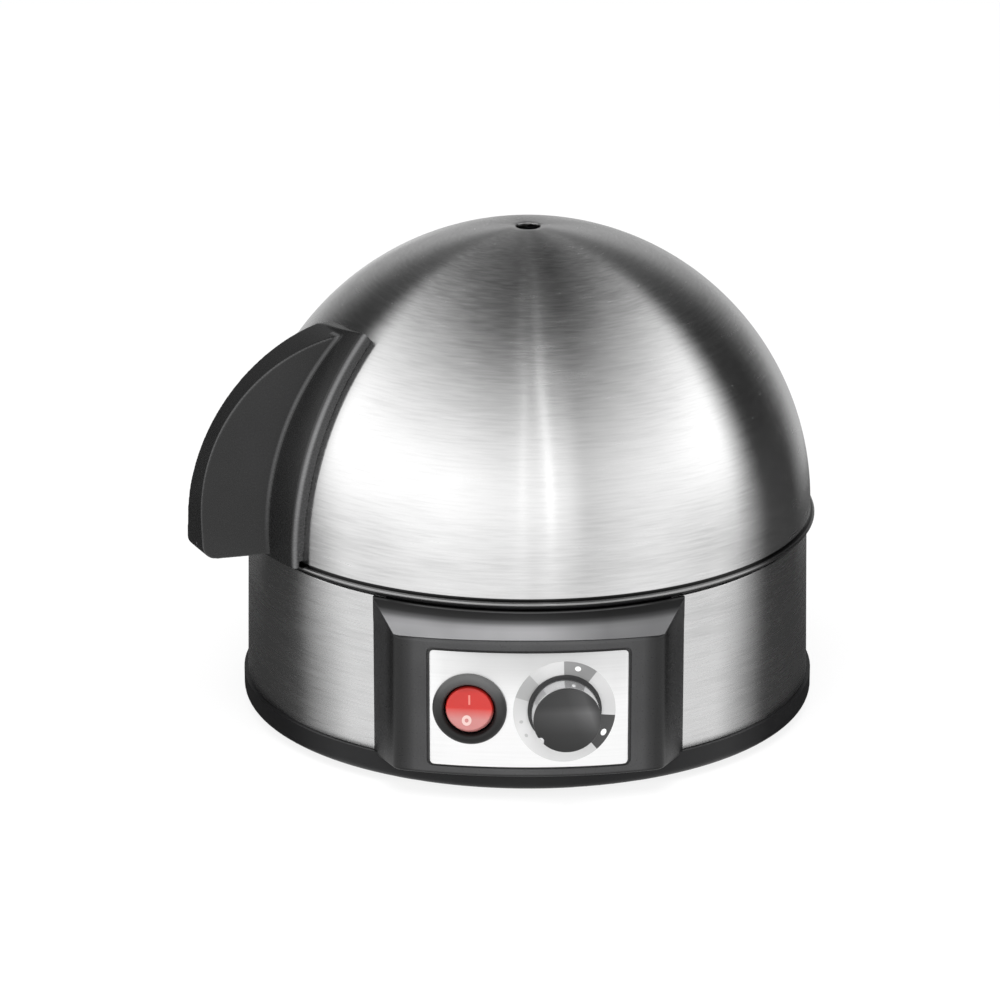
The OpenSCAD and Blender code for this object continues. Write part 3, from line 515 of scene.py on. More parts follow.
CAD_FINISH = {
    "steel_band": STEEL_BAND, "lid_dome": STEEL_DOME, "face_plate": STEEL_FACE,
    "heating_dish": STEEL_DISH, "lid_handle": BLACK, "upper_housing": BLACK_DULL,
    "foot_ring": BLACK_DULL, "base_plate": BLACK_DULL, "control_console": BLACK_FRONT,
    "switch_body": BLACK_BEZEL, "knob_cap": BLACK_CAP, "egg_tray": TRAY, "knob_ring": CHROME,
    "switch_rocker": RED, "rubber_feet": RUBBER, "cord_gland": RUBBER, "dish_seal": SILICONE,
    "heating_element": OXIDISED, "thermal_fuse": OXIDISED, "thermal_cutout": RESIN,
    "switch_terminals": BRASS, "control_body": GREY, "circuit_board": GREEN, "relay": BLUE,
    "buzzer": RUBBER, "terminal_block": IVORY,
}
for node_name, node_object in NODES.items():
    node_object.data.materials.clear()
    node_object.data.materials.append(CAD_FINISH.get(node_name, ZINC))


def settle(obj, body, material=None, replaces=()):
    """Give a new piece its finish, its body and the CAD nodes that it stands for."""
    if material:
        obj.data.materials.clear()
        obj.data.materials.append(material)
    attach(obj, body)
    if replaces:
        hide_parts(*replaces)
    return obj


# Lid

def dome_profile():
    """The dome's section from the vent to the rim, where its edge is turned out."""
    top = math.degrees(math.acos((VENT_R + 0.3) / DOME_R))
    points = arc(0, DOME_Z, DOME_R, top, 0.3, 84)
    points += arc(DOME_R + 0.5, HEM_Z + 1.35, 0.5, 180, 262, 8)
    points += arc(HEM_R - 0.55, HEM_Z, 0.55, 75, -90, 10)
    inner = DOME_R - DOME_T
    points += [(inner + 0.5, HEM_Z - 0.55), (inner + 0.1, HEM_Z - 0.3)]
    high = math.degrees(math.acos((VENT_R + 0.3) / inner))
    points += arc(0, DOME_Z, inner, 0.3, high, 72)
    rim_top = DOME_Z + math.sqrt(DOME_R ** 2 - VENT_R ** 2)
    points += [(VENT_R, rim_top - DOME_T + 0.12), (VENT_R - 0.05, rim_top - 0.4)]
    return points + [(VENT_R, rim_top - 0.12)]


dome = spin("dome_shell", dome_profile(), segments=256)
settle(dome, "lid", STEEL_DOME, ["lid_dome"])

heel_in, heel_out = DOME_R + SINK, DOME_R + HEEL_T
heel = spin(
    "handle_heel",
    [(heel_in, HEEL_Z0), (heel_out, HEEL_Z0), (heel_out, HEEL_Z1), (heel_in, HEEL_Z1)],
    segments=24, start=HANDLE_DIR - HEEL_BACK, stop=HANDLE_DIR + HEEL_FRONT,
)


def handle_shape(p):
    """The flange's front edge is rolled over and its inner face lies on the dome."""
    arm = p - Vector((0, 0, DOME_Z))
    height = arm.length - DOME_R
    if height < SINK_FROM:
        stretch = (SINK_FROM + SINK) / (SINK_FROM - SEAT_GAP)
        p = p - arm.normalized() * (SINK_FROM - height) * (stretch - 1)
    edge = math.radians(HANDLE_DIR + FLANGE_HALF)
    side = Vector((-math.sin(edge), math.cos(edge), 0))
    inside = -arm.dot(side)
    below = FLANGE_T + SEAT_GAP - height
    if inside < EDGE_ROLL and below < EDGE_ROLL:
        away = math.hypot(EDGE_ROLL - inside, EDGE_ROLL - below)
        if away > EDGE_ROLL:
            pull = 1 - EDGE_ROLL / away
            p = p - side * (EDGE_ROLL - inside) * pull - arm.normalized() * (EDGE_ROLL - below) * pull
    return p


handle = moulded("handle_grip", "lid_handle", 0.3, 12, extra=heel, shape=handle_shape)
settle(handle, "lid", BLACK, ["lid_handle"])

# Base

band_edge = math.degrees(math.asin(BAND_GAP / 2 / BASE_R))
band = spin(
    "band_sleeve",
    fillet([
        (BASE_R - BAND_T, BAND_Z0, 0.1), (BASE_R, BAND_Z0, 0.3),
        (BAND_TOP_R, BAND_Z1, 0.3), (BAND_TOP_R - BAND_T, BAND_Z1, 0.1),
    ], 3),
    segments=216, start=-90 + band_edge, stop=270 - band_edge,
)
settle(band, "base", STEEL_BAND, ["steel_band"])


def band_r(z):
    """The band's radius at a height."""
    return BASE_R + (BAND_TOP_R - BASE_R) * (z - BAND_Z0) / (BAND_Z1 - BAND_Z0)


class Console:
    """The moulded console: its plan, the slope up to the lip and the recess of the face plate."""

    edge_round, slope_round, top_h = 0.6, 0.8, 0.4
    groove_w, groove_d = 0.45, 0.3
    patch_x, patch_z0, patch_z1 = 37.0, 10.0, 51.5
    recess = ((-2.0, -0.9), (0.0, -0.9), (0.0, -0.3), (0.09, -0.09), (0.3, 0.0))

    def __init__(self):
        side = math.radians(SIDE_ANGLE)
        self.side_n = Vector((math.cos(side), -math.sin(side)))
        edge = Vector((CONSOLE_HALF, -math.sqrt(BASE_R ** 2 - CONSOLE_HALF ** 2)))
        inner = FRONT_R - CORNER_R
        reach = (self.side_n.dot(edge) - CORNER_R - self.side_n.dot(Vector((0, FRONT_CY)))) / inner
        self.turn = math.pi / 2 - side - math.acos(reach)
        self.corner = Vector((inner * math.sin(self.turn), FRONT_CY - inner * math.cos(self.turn)))
        self.top_r = LIP_R + 0.5
        self.top_half = math.asin(CONSOLE_HALF / self.top_r)
        self.verts, self.faces = [], []

    def plan(self, column, z, inset=0.0):
        """A point of the plan. A column is (part, value, sign), mirrored for a negative sign."""
        part, value, sign = column
        if part == "front":
            a = math.asin(value / FRONT_R)
            p = Vector((0, FRONT_CY)) + (FRONT_R - inset) * Vector((math.sin(a), -math.cos(a)))
        elif part == "corner":
            a = self.turn + (math.pi / 2 - math.radians(SIDE_ANGLE) - self.turn) * value
            p = self.corner + (CORNER_R - inset) * Vector((math.sin(a), -math.cos(a)))
        else:
            start = self.corner + (CORNER_R - inset) * self.side_n
            end = Vector((CONSOLE_HALF, -math.sqrt((band_r(z) - 0.1) ** 2 - CONSOLE_HALF ** 2)))
            p = start.lerp(end, value)
        return Vector((sign * p.x, p.y, z))

    def top(self, column, z, out=0.0):
        """A point of the upper edge, which is round like the lip."""
        part, value, sign = column
        limit = FRONT_R * math.sin(self.turn)
        share = value / limit if part == "front" else 1.0
        a = self.top_half * share
        r = self.top_r + out
        return Vector((sign * r * math.sin(a), -r * math.cos(a), z))

    def columns(self, fronts):
        """The columns from the left side to the right side."""
        right = [("front", x, 1) for x in fronts]
        limit = FRONT_R * math.sin(self.turn)
        right += [("front", self.patch_x + (limit - self.patch_x) * i / 3, 1) for i in range(1, 4)]
        right += [("corner", i / 12, 1) for i in range(1, 13)]
        right += [("side", i / 8, 1) for i in range(1, 9)]
        left = [(part, value, -1) for part, value, _ in reversed(right)]
        return [column for column in left if column[:2] != ("front", 0.0)] + right

    def section(self, column, levels):
        """Points up one column: lower edge, wall, groove, slope, upper edge."""
        r = self.edge_round
        points = [self.plan(column, CONSOLE_Z0, 4.0)]
        for i in range(5):
            a = math.pi / 2 * i / 4
            points.append(self.plan(column, CONSOLE_Z0 + r * (1 - math.cos(a)), r * (1 - math.sin(a))))
        points += [self.plan(column, z) for z in levels]
        edge, upper = self.plan(column, SLOPE_Z), self.top(column, CONSOLE_Z1 - self.top_h)
        along = (upper - edge).normalized()
        low, high = self.plan(column, SLOPE_Z - self.slope_round), edge + along * self.slope_round
        for i in range(7):
            t = i / 6
            points.append(low * (1 - t) ** 2 + edge * 2 * t * (1 - t) + high * t ** 2)
        part, value = column[:2]
        fade = 1.0 if part == "front" else max(0.0, 1 - 1.6 * value) if part == "corner" else 0.0
        across = (self.plan(column, SLOPE_Z, 1.0) - edge).normalized()
        inward = (across - along * across.dot(along)).normalized()
        start = self.slope_round + 0.05
        for step, depth in ((0.0, 0.0), (0.25, 1.0), (0.75, 1.0), (1.0, 0.0)):
            sink = inward * self.groove_d * depth * fade
            points.append(edge + along * (start + self.groove_w * step) + sink)
        begin, end = points[-1], upper
        points += [begin.lerp(end, i / 6) for i in range(1, 6)]
        points += [begin.lerp(end, 0.97), upper + Vector((0, 0, self.top_h * 0.4))]
        points += [self.top(column, CONSOLE_Z1 - 0.06, -0.15), self.top(column, CONSOLE_Z1 - 0.05, -1.6)]
        return points

    def loop(self):
        """The recess's outline with, for each point, the way out and the point on the patch's edge."""
        hx, hz, r = FACE_W / 2 + FACE_GROOVE, FACE_H / 2 + FACE_GROOVE, FACE_CORNER + FACE_GROOVE / 2
        points = []
        for sx, sz, first in ((1, 1, 0), (-1, 1, 90), (-1, -1, 180), (1, -1, 270)):
            cx, cz = sx * (hx - r), FACE_Z + sz * (hz - r)
            limit_z = self.patch_z1 if sz > 0 else self.patch_z0
            corner = math.degrees(math.atan2(limit_z - cz, sx * self.patch_x - cx)) % 360
            turns = sorted([first + 90 * i / 6 for i in range(7)] + [corner])
            points += [(cx + r * math.cos(t), cz + r * math.sin(t), math.cos(t), math.sin(t))
                       for t in map(math.radians, turns)]
            if first % 180 == 0:
                steps, span = 36, 2 * (hx - r)
                points += [(cx - sx * span * i / steps, cz + sz * r, 0, sz) for i in range(1, steps)]
            else:
                steps, span = 16, 2 * (hz - r)
                points += [(cx + sx * r, cz - sz * span * i / steps, sx, 0) for i in range(1, steps)]
        ring = []
        for x, z, dx, dz in points:
            limits = []
            if abs(dx) > 1e-9:
                limits.append((math.copysign(self.patch_x, dx) - x) / dx)
            if abs(dz) > 1e-9:
                limits.append(((self.patch_z1 if dz > 0 else self.patch_z0) - z) / dz)
            reach = min(limits)
            ring.append((x, z, dx, dz, round(x + dx * reach, 6), round(z + dz * reach, 6)))
        return ring

    def front(self, x, z, depth):
        """A point on the bowed front, or behind it for a negative depth."""
        a = math.asin(x / FRONT_R)
        r = FRONT_R + depth
        return Vector((r * math.sin(a), FRONT_CY - r * math.cos(a), z))

    def build(self):
        """The shell: columns all round, with the patch round the recess in place of the wall there."""
        ring = self.loop()
        fronts = sorted({round(abs(o[4]), 6) for o in ring})
        levels = sorted({o[5] for o in ring})
        columns = self.columns(fronts)
        sections = [self.section(c, levels) for c in columns]
        count = len(sections[0])
        for points in sections:
            self.verts += points
        wall = range(6, 6 + len(levels) - 1)
        for i in range(len(columns) - 1):
            inside = all(c[0] == "front" and c[1] <= self.patch_x + 1e-6 for c in columns[i:i + 2])
            for k in range(count - 1):
                if inside and k in wall:
                    continue
                a = i * count + k
                self.faces.append((a, a + count, a + count + 1, a + 1))
        rows = []
        for out, depth in self.recess:
            rows.append([self.front(x + dx * out, z + dz * out, depth) for x, z, dx, dz, ox, oz in ring])
        rows.append([
            self.front((x + dx * out + ox) / 2, (z + dz * out + oz) / 2, 0)
            for x, z, dx, dz, ox, oz in ring
        ])
        rows.append([self.front(ox, oz, 0) for x, z, dx, dz, ox, oz in ring])
        first, n = len(self.verts), len(ring)
        for row in rows:
            self.verts += row
        for j in range(len(rows) - 1):
            for k in range(n):
                a, b = first + j * n + k, first + j * n + (k + 1) % n
                self.faces.append((a, b, b + n, a + n))
        return make_mesh("console_shell", self.verts, self.faces, 35)


console = settle(Console().build(), "base", BLACK_FRONT, ["control_console"])
# The slope's upward faces take the paler grey of the painted sheen.
console.data.materials.append(SLOPE_SHEEN)
for face in console.data.polygons:
    if face.center.z / MM > SLOPE_Z + 0.9 and face.normal.z > 0.5:
        face.material_index = 1


# Controls

def face_mesh():
    """The bowed plate: columns across, each with a bevelled front."""
    columns, half_w, half_h, corner, bevel = 72, FACE_W / 2, FACE_H / 2, FACE_CORNER, FACE_BEVEL
    xs = [-half_w + FACE_W * i / columns for i in range(columns + 1)]
    xs += [s * (half_w - d) for s in (-1, 1) for d in (0.1, 0.3, 0.6, 1.0)]
    verts, faces = [], []
    rows = sorted(set(round(x, 4) for x in xs))
    for x in rows:
        edge = half_w - abs(x)
        cut = corner - math.sqrt(max(0.0, corner ** 2 - (corner - edge) ** 2)) if edge < corner else 0.0
        drop = bevel - math.sqrt(max(0.0, bevel ** 2 - (bevel - edge) ** 2)) if edge < bevel else 0.0
        h = half_h - cut
        t = x / FRONT_R
        face, part = FACE_OUT - drop, bevel * 0.3
        upper = [(h - bevel, face), (h - part, face - part), (h, face - bevel), (h, -FACE_BACK)]
        for v, out in [(-v, out) for v, out in reversed(upper)] + upper:
            r = FRONT_R + out
            verts.append((r * math.sin(t), FRONT_CY - r * math.cos(t), FACE_Z + v))
    n = 8
    for i in range(len(rows) - 1):
        for k in range(n):
            a, b = i * n + k, i * n + (k + 1) % n
            faces.append((a, a + n, b + n, b))
    faces.append(tuple(range(n)))
    faces.append(tuple((len(rows) - 1) * n + k for k in reversed(range(n))))
    return make_mesh("face_sheet", verts, faces)


switch_place = on_front(SWITCH_X)
sheet = face_mesh()
hole_r, hole_half = CAVITY_R + 1, 3
hole = spin(
    "switch_hole", [(0, -hole_half), (hole_r, -hole_half), (hole_r, hole_half), (0, hole_half)],
    segments=96, place=switch_place,
)
cut = sheet.modifiers.new("cut", "BOOLEAN")
cut.operation, cut.solver, cut.object = "DIFFERENCE", "EXACT", hole
bake(sheet)
sheet.data.set_sharp_from_angle(angle=math.radians(40))
bpy.data.objects.remove(hole)
settle(sheet, "base", STEEL_FACE, ["face_plate"])


def on_face(x, lift):
    """A function that puts a point of the dial on the bowed face. The dial is taller than wide."""
    place = on_front(x)

    def put(p):
        side = p[0]
        sink = FRONT_R - math.sqrt(FRONT_R ** 2 - side ** 2)
        return place((side, p[1] * DIAL_TALL - DIAL_DROP, FACE_OUT + lift - sink))

    return put


def sector(put, r0, r1, start, stop, verts, faces):
    """Add a ring sector to a print, fine enough to follow the bow."""
    first, rows = len(verts), 8
    steps = math.ceil((stop - start) / 3)
    for i in range(steps + 1):
        t = math.radians(start + (stop - start) * i / steps)
        for k in range(rows + 1):
            r = r0 + (r1 - r0) * k / rows
            verts.append(put((r * math.cos(t), r * math.sin(t))))
    for i in range(steps):
        for k in range(rows):
            a = first + i * (rows + 1) + k
            faces.append((a, a + 1, a + rows + 2, a + rows + 1))


def print_piece(name, lift, sectors, material):
    """A print of ring sectors round the knob, each (inner radius, outer radius, start, stop)."""
    verts, faces = [], []
    put = on_face(KNOB_X, lift)
    for r0, r1, start, stop in sectors:
        sector(put, r0, r1, start, stop, verts, faces)
    settle(make_mesh(name, verts, faces), "base", material)


def dot_piece(name, lift, dots, material):
    """Small ovals across the dial, each (radius of place, direction, half length, half width)."""
    verts, faces = [], []
    put = on_face(KNOB_X, lift)
    for at, turn, long, wide in dots:
        t = math.radians(turn)
        first = len(verts)
        for i in range(24):
            a = math.tau * i / 24
            u, v = long * math.cos(a), wide * math.sin(a)
            r = at + v
            verts.append(put((r * math.cos(t) - u * math.sin(t), r * math.sin(t) + u * math.cos(t))))
        faces.append(tuple(range(first, first + 24)))
    settle(make_mesh(name, verts, faces), "base", material)


DIAL_IN, DIAL_OUT, DIAL_TALL, DIAL_DROP = 10.0, 15.75, 1.045, 0.7
print_piece("dial_ring", 0.02, [(DIAL_IN, DIAL_OUT, 0, 360)], PRINT_PALE)
print_piece("dial_mark_soft", 0.03, [(DIAL_IN, DIAL_OUT, 133, 163)], PRINT_SOFT)
print_piece("dial_mark_mid", 0.03, [(DIAL_IN, DIAL_OUT, 51, 91)], PRINT_MID)
print_piece("dial_mark_dark", 0.03, [(DIAL_IN, DIAL_OUT, -50.5, -6.5)], PRINT_DARK)
dot_piece("dial_dots", 0.04, [(13.9, 73, 0.95, 0.75), (13.9, -30, 1.1, 0.8)], PRINT_WHITE)
dot_piece("dial_dots_faint", 0.03, [(13.6, 193, 0.5, 0.6), (13.8, 212, 0.6, 0.5)], PRINT_SOFT)

tube = (BEZEL_R - CAVITY_R) / 2
bezel_profile = arc(CAVITY_R + tube, BEZEL_OUT, tube, 0, 180, 20)
bezel_profile += [(CAVITY_R, -CAVITY_IN), (AXIS_R, -CAVITY_IN), (AXIS_R, -BARREL_IN)]
bezel_profile += [(BARREL_R, -BARREL_IN), (BARREL_R, BEZEL_OUT)]
bezel = spin("switch_bezel", bezel_profile, segments=128, place=switch_place)
settle(bezel, "base", BLACK_BEZEL, ["switch_body"])

rocker = moulded("rocker_button", "switch_rocker", 0.18, 3)
settle(rocker, "rocker", RED, ["switch_rocker"])


def rocker_print(name, material, outline, hole=None):
    """A printed mark on the rocker's face: an outline, or the ring between two outlines."""
    tree = BVHTree.FromPolygons(
        [v.co.copy() for v in rocker.data.vertices], [tuple(f.vertices) for f in rocker.data.polygons])
    away = (switch_place((0, 0, 10)) - switch_place((0, 0, 0))).normalized()

    def put(p):
        start = switch_place((p[0], p[1], 10)) * MM
        hit = tree.ray_cast(start, -away)[0]
        return hit / MM + away * MARK_LIFT

    verts = [put(p) for p in outline]
    n = len(outline)
    if hole:
        verts += [put(p) for p in hole]
        faces = [(i, (i + 1) % n, n + (i + 1) % n, n + i) for i in range(n)]
    else:
        faces = [tuple(range(n))]
    settle(make_mesh(name, verts, faces), "rocker", material)


bar = fillet([(-0.2, 1.8, 0.2), (0.4, 1.8, 0.2), (0.4, 5.0, 0.2), (-0.2, 5.0, 0.2)], 3)
rocker_print("mark_on", PRINT_PINK, bar)
off_x, off_y, off_r, off_hole = -0.55, -2.9, 1.5, 0.6
ring, ring_hole = (arc(off_x, off_y, r, 0, 345, 23) for r in (off_r, off_hole))
rocker_print("mark_off", PRINT_ROSE, ring, ring_hole)

knob_place = on_front(KNOB_X)
skirt = spin(
    "knob_skirt",
    fillet([
        (CAP_SKIRT_R + 0.1, KNOB_OUT, 0.1), (KNOB_R, KNOB_OUT, 0.35),
        (KNOB_TOP_R, KNOB_OUT + SKIRT_H, 0.35), (CAP_SKIRT_R + 0.1, KNOB_OUT + SKIRT_H, 0.1),
    ], 5),
    segments=160, place=knob_place,
)
settle(skirt, "knob", CHROME, ["knob_ring"])
# A thin black ring that fills the gap under the chrome skirt: painted shade for that gap.
foot = spin(
    "knob_gap_shade",
    fillet([
        (FOOT_IN_R, FOOT_OUT0, 0), (FOOT_R, FOOT_OUT0, 0.05),
        (FOOT_R, FOOT_OUT1, 0.15), (FOOT_IN_R, FOOT_OUT1, 0),
    ], 4),
    segments=128, place=knob_place,
)
settle(foot, "knob", BLACK_SATIN)


def cap_place(p):
    """The cap's notch pulls its rim in at the mark."""
    r = math.hypot(p[0], p[1])
    if r > CAP_R - MARK_R - 0.1:
        turn = math.atan2(p[1], p[0]) - math.radians(KNOB_MARK)
        off = CAP_R * math.sin(turn)
        if math.cos(turn) > 0 and abs(off) < MARK_R:
            limit = CAP_R * math.cos(turn) - math.sqrt(MARK_R ** 2 - off ** 2)
            if r > limit:
                p = (p[0] * limit / r, p[1] * limit / r, p[2])
    return knob_place(p)


cap = spin(
    "knob_face",
    fillet([
        (AXIS_R, CAP_OUT - CAP_SKIRT_H, 0), (CAP_SKIRT_R, CAP_OUT - CAP_SKIRT_H, 0.1),
        (CAP_SKIRT_R, CAP_OUT, 0.1), (CAP_R, CAP_OUT, 0.15),
        (CAP_R, CAP_OUT + CAP_T, 0.35), (AXIS_R, CAP_OUT + CAP_T, 0),
    ], 5),
    segments=360, place=cap_place,
)
settle(cap, "knob", BLACK_CAP, ["knob_cap"])

# Studio

# Light of the room by height in degrees, in front and behind. A meridian is the direction, in
# degrees from the camera's side, of the dome's line that mirrors a part of the room to the camera,
# and the crown's shade and the two streaks of light go by the height of that spot on the dome.
# A card covers a share of the floor at each meridian.
SKY_FRONT = [
    (0, 1.15), (6, 1.45), (13, 1.85), (26, 1.8), (40, 1.15), (58, 0.72), (70, 0.30), (80, 0.15),
    (90, 0.10),
]
SKY_REAR = [(0, 0.36), (8, 0.34), (20, 0.26), (35, 0.20), (60, 0.10), (90, 0.12)]
FRONT_ENDS = [(47.5, 1.0), (51.5, 0.45), (54.5, 0.12), (57, 0.02)]
REAR_STARTS = [(66, 0.0), (70, 0.08), (76, 0.32), (82, 0.65), (90, 0.85)]
SIDE_SHADE = [
    (-16, 1.0), (-6, 0.86), (3, 0.84), (8, 0.84), (12, 0.56), (21, 0.70), (30, 0.82), (42, 1.0),
]
CROWN_SHADE = [
    (46, 1.0), (50, 0.92), (56, 0.50), (62, 0.24), (67, 0.14), (74, 0.05), (80, 0.08), (86, 0.15),
    (90, 0.15),
]
STREAKS = [
    (-3.4, 0.0), (-2.6, 0.9), (-2.0, 0.9), (-1.2, 0.0), (1.8, 0.0), (3.0, 1.0), (3.8, 1.0), (5.0, 0.0),
]
STREAK_RISE = [(38, 0.0), (44, 0.30), (51, 0.26), (58, 0.20), (66, 0.10), (75, 0.06), (90, 0.03)]
CROWN_FILL = [(46, 0.0), (56, 0.05), (66, 0.11), (76, 0.17), (84, 0.20), (90, 0.17)]
CARD_NEAR = [(40, 0.0), (46, 0.5), (54, 0.95), (84, 0.97), (88, 0.9)]
CARD_FAR = [(40, 0.0), (46, 0.5), (54, 0.95), (66, 0.97), (76, 0.45), (88, 0.35)]
CARD_RIGHT = [(26, 0.0), (34, 0.35), (39, 0.42), (46, 0.0)]
CARD_FRONT = [
    (-42, 0.06), (-33, 0.20), (-20, 0.0), (-7, 0.03), (-4.6, 0.05), (-2.4, 0.0), (-0.8, 0.0),
    (0.8, 0.18), (2.4, 0.0), (4.2, 0.0), (7, 0.20), (10.5, 0.32), (15, 0.20), (21, 0.0),
    (30, 0.05), (39, 0.12),
]
CARD_SHIFT, CARD_LIFT = 1.3, 0.6 * MM
CAMERA_RISE, LAMP_AIM_Z = 19.15, 0.06
FLOOR_SIZE, FLOOR_TONE, FLOOR_GLOW, FLOOR_LIFT = 30.0, 0.9, 1.05, 0.8


def studio_floor():
    """A pale floor that shows almost white, with the object's shadow."""
    size = FLOOR_SIZE
    mesh = bpy.data.meshes.new("floor")
    corners = [(-size, -size, 0), (size, -size, 0), (size, size, 0), (-size, size, 0)]
    mesh.from_pydata(corners, [], [(0, 1, 2, 3)])
    floor = bpy.data.objects.new("floor", mesh)
    bpy.context.scene.collection.objects.link(floor)
    f = Finish("floor_white", Roughness=0.9)
    f.shader.inputs["Base Color"].default_value = (FLOOR_TONE, FLOOR_TONE, FLOOR_TONE, 1)
    f.shader.inputs["Specular IOR Level"].default_value = 0.0
    path = f.add("LightPath")
    seen = f.math("MAXIMUM", path.outputs["Is Camera Ray"], path.outputs["Is Glossy Ray"])
    seen = f.math("MAXIMUM", seen, path.outputs["Is Transmission Ray"])
    glow = f.add("Emission")
    glow.inputs["Strength"].default_value = FLOOR_GLOW
    mix = f.add("MixShader")
    f.link(f.math("MULTIPLY", seen, FLOOR_LIFT), mix.inputs[0])
    f.link(f.shader.outputs[0], mix.inputs[1])
    f.link(glow.outputs[0], mix.inputs[2])
    f.link(mix.outputs[0], f.find("OUTPUT_MATERIAL").inputs["Surface"])
    mesh.materials.append(f.material)


def studio_world():
    """A white room in front that darkens overhead, with a dark gap on each side behind the object."""
    world = bpy.data.worlds.new("studio")
    bpy.context.scene.world = world
    world.use_nodes = True
    g = Graph(world.node_tree)
    back = g.find("BACKGROUND")
    split = g.add("SeparateXYZ")
    g.link(g.add("TexCoord").outputs["Generated"], split.inputs[0])
    x, y, z = split.outputs
    rise = g.math("DIVIDE", g.math("ARCSINE", z), math.pi / 2)
    ahead = g.math("SUBTRACT", math.cos(math.radians(CAMERA_RISE)), y)
    meridian = g.math("DIVIDE", g.math("ARCTAN2", g.math("ABSOLUTE", x), ahead), math.pi)
    aside = g.math("ADD", g.math("DIVIDE", g.math("ARCTAN2", x, ahead), math.pi), 0.5)
    peak = max(tone for place, tone in SKY_FRONT)

    def by(value, stops, whole, top=1.0):
        return g.ramp(value, [(place / whole, tone / top) for place, tone in stops])

    lit = by(meridian, FRONT_ENDS, 180)
    front = g.math("MULTIPLY", by(rise, SKY_FRONT, 90, peak), lit)
    front = g.math("MULTIPLY", front, by(aside, [(turn + 90, tone) for turn, tone in SIDE_SHADE], 180))
    streaks = by(aside, [(turn + 90, tone) for turn, tone in STREAKS], 180)
    level = g.math("SQRT", g.math("ADD", g.math("POWER", x, 2.0), g.math("POWER", ahead, 2.0)))
    spot = g.math("ARCTAN2", g.math("ADD", z, math.sin(math.radians(CAMERA_RISE))), level)
    spot = g.math("DIVIDE", spot, math.pi / 2)
    front = g.math("MULTIPLY", front, by(spot, CROWN_SHADE, 90))
    front = g.math("ADD", front, g.math("MULTIPLY", streaks, by(spot, STREAK_RISE, 90, peak)))
    fill = g.math("MULTIPLY", by(spot, CROWN_FILL, 90, peak), g.math("SUBTRACT", 1.0, lit))
    rear = g.math("MULTIPLY", by(rise, SKY_REAR, 90, peak), by(meridian, REAR_STARTS, 180))
    g.link(g.math("ADD", g.math("ADD", front, rear), fill), back.inputs["Color"])
    back.inputs["Strength"].default_value = peak


def floor_card(name, edges, near, far, signs, shift=CARD_SHIFT):
    """A dark card that lies beside the object and fades over its meridians. Only reflections show it."""
    first_turn, last_turn = edges[0][0], edges[-1][0]
    turns = [first_turn + (last_turn - first_turn) * i / 48 for i in range(49)]
    verts, faces, shares = [], [], []
    for sign in signs:
        first = len(verts)
        for turn in turns:
            a = math.radians(turn + sign * shift)
            for reach in (near, far):
                x = BASE_R * MM * math.sin(a) + reach * math.sin(2 * a)
                y = -BASE_R * MM * math.cos(a) - reach * math.cos(2 * a)
                verts.append((sign * x, y, CARD_LIFT))
                shares.append((turn + 90) / 180)
        for i in range(len(turns) - 1):
            k = first + 2 * i
            faces.append((k, k + 1, k + 3, k + 2))
    mesh = bpy.data.meshes.new(name)
    mesh.from_pydata(verts, [], faces)
    layer = mesh.uv_layers.new(name="share")
    for loop in mesh.loops:
        layer.data[loop.index].uv = (shares[loop.vertex_index], 0.0)
    obj = bpy.data.objects.new(name, mesh)
    bpy.context.scene.collection.objects.link(obj)
    f = Finish(name + "_cloth", Roughness=0.9)
    f.shader.inputs["Base Color"].default_value = (0.02, 0.02, 0.02, 1)
    f.shader.inputs["Specular IOR Level"].default_value = 0.0
    split = f.add("SeparateXYZ")
    f.link(f.add("TexCoord").outputs["UV"], split.inputs[0])
    f.to("Alpha", f.ramp(split.outputs["X"], [((turn + 90) / 180, cover) for turn, cover in edges]))
    mesh.materials.append(f.material)
    obj.visible_camera = obj.visible_diffuse = obj.visible_transmission = obj.visible_shadow = False


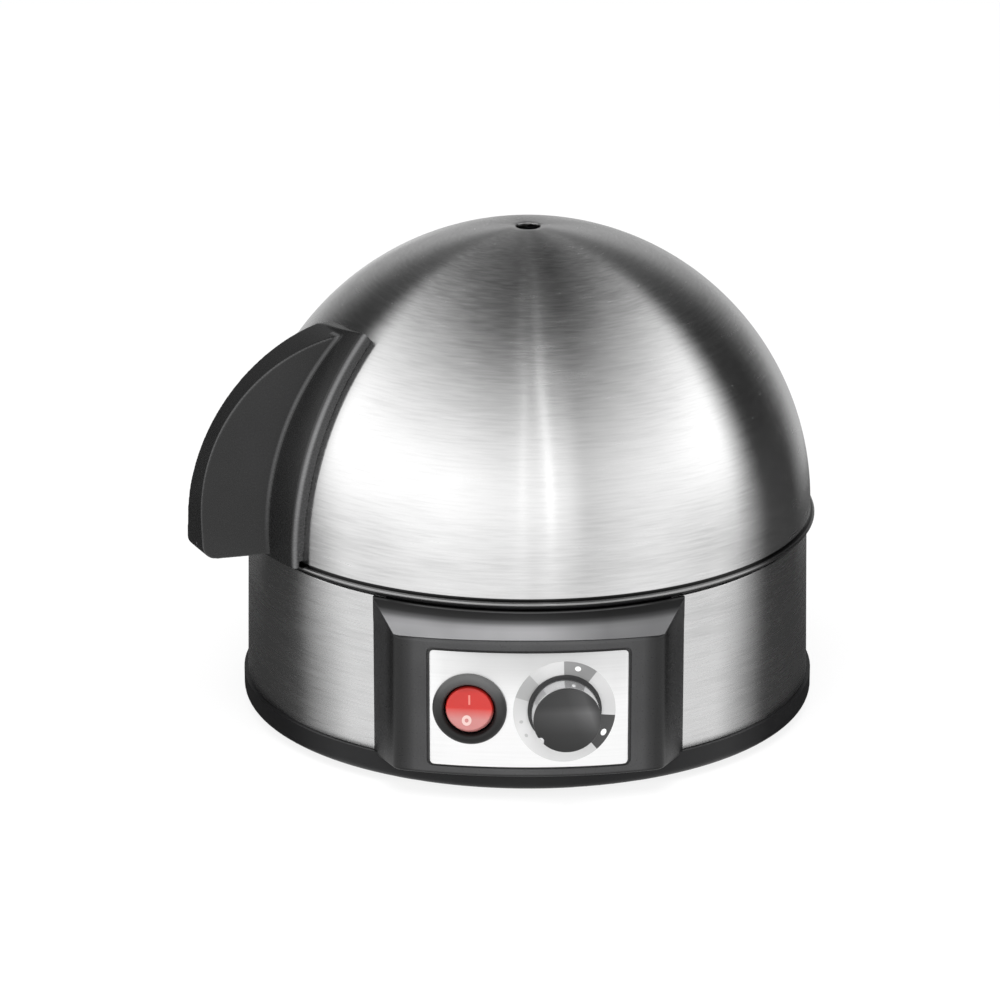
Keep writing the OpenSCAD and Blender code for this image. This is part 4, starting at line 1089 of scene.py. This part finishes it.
def lamp(name, azimuth, elevation, distance, width, height, watts, mirrored=True):
    """An area lamp aimed at the object. Azimuth 0 is the camera's side, positive to the right."""
    a, e = math.radians(azimuth), math.radians(elevation)
    out = Vector((math.sin(a) * math.cos(e), -math.cos(a) * math.cos(e), math.sin(e)))
    data = bpy.data.lights.new(name, "AREA")
    data.shape = "RECTANGLE"
    data.size, data.size_y = width, height
    data.energy = watts
    obj = bpy.data.objects.new(name, data)
    bpy.context.scene.collection.objects.link(obj)
    obj.location = out * distance + Vector((0, 0, LAMP_AIM_Z))
    obj.rotation_mode = "QUATERNION"
    obj.rotation_quaternion = out.to_track_quat("Z", "Y")
    obj.visible_glossy = mirrored


def camera():
    """The photo's view."""
    elevation, distance, lens = math.radians(CAMERA_RISE), 1.5525, 173.4
    out = Vector((0, -math.cos(elevation), math.sin(elevation)))
    up = Vector((0, math.sin(elevation), math.cos(elevation)))
    data = bpy.data.cameras.new("camera")
    data.lens, data.sensor_width, data.sensor_fit = lens, 36.0, "HORIZONTAL"
    data.clip_start, data.clip_end = 0.05, 60.0
    obj = bpy.data.objects.new("camera", data)
    bpy.context.scene.collection.objects.link(obj)
    beside, below = 8.86 * MM, 0.84 * MM
    obj.location = Vector((-beside, 0, DOME_Z * MM)) + out * distance - up * below
    obj.rotation_mode = "QUATERNION"
    obj.rotation_quaternion = out.to_track_quat("Z", "Y")
    bpy.context.scene.camera = obj


studio_floor()
floor_card("card_near", CARD_NEAR, 0.0, 0.3, (-1, 1))
floor_card("card_far", CARD_FAR, 0.3, 14.0, (-1, 1))
floor_card("card_right", CARD_RIGHT, 0.28, 1.5, (1,))
floor_card("card_front", CARD_FRONT, 0.17, 3.0, (1,), 0.0)
studio_world()
lamp("strip_left", -2.5, 38.25, 1.7, 0.025, 2.1, 0.18)
lamp("strip_right", 9.0, 38.25, 1.7, 0.06, 2.1, 0.42)
lamp("overhead", 0.0, 68.0, 1.6, 1.2, 1.2, 22.0, mirrored=False)
camera()
bpy.context.scene.view_settings.view_transform = "Standard"
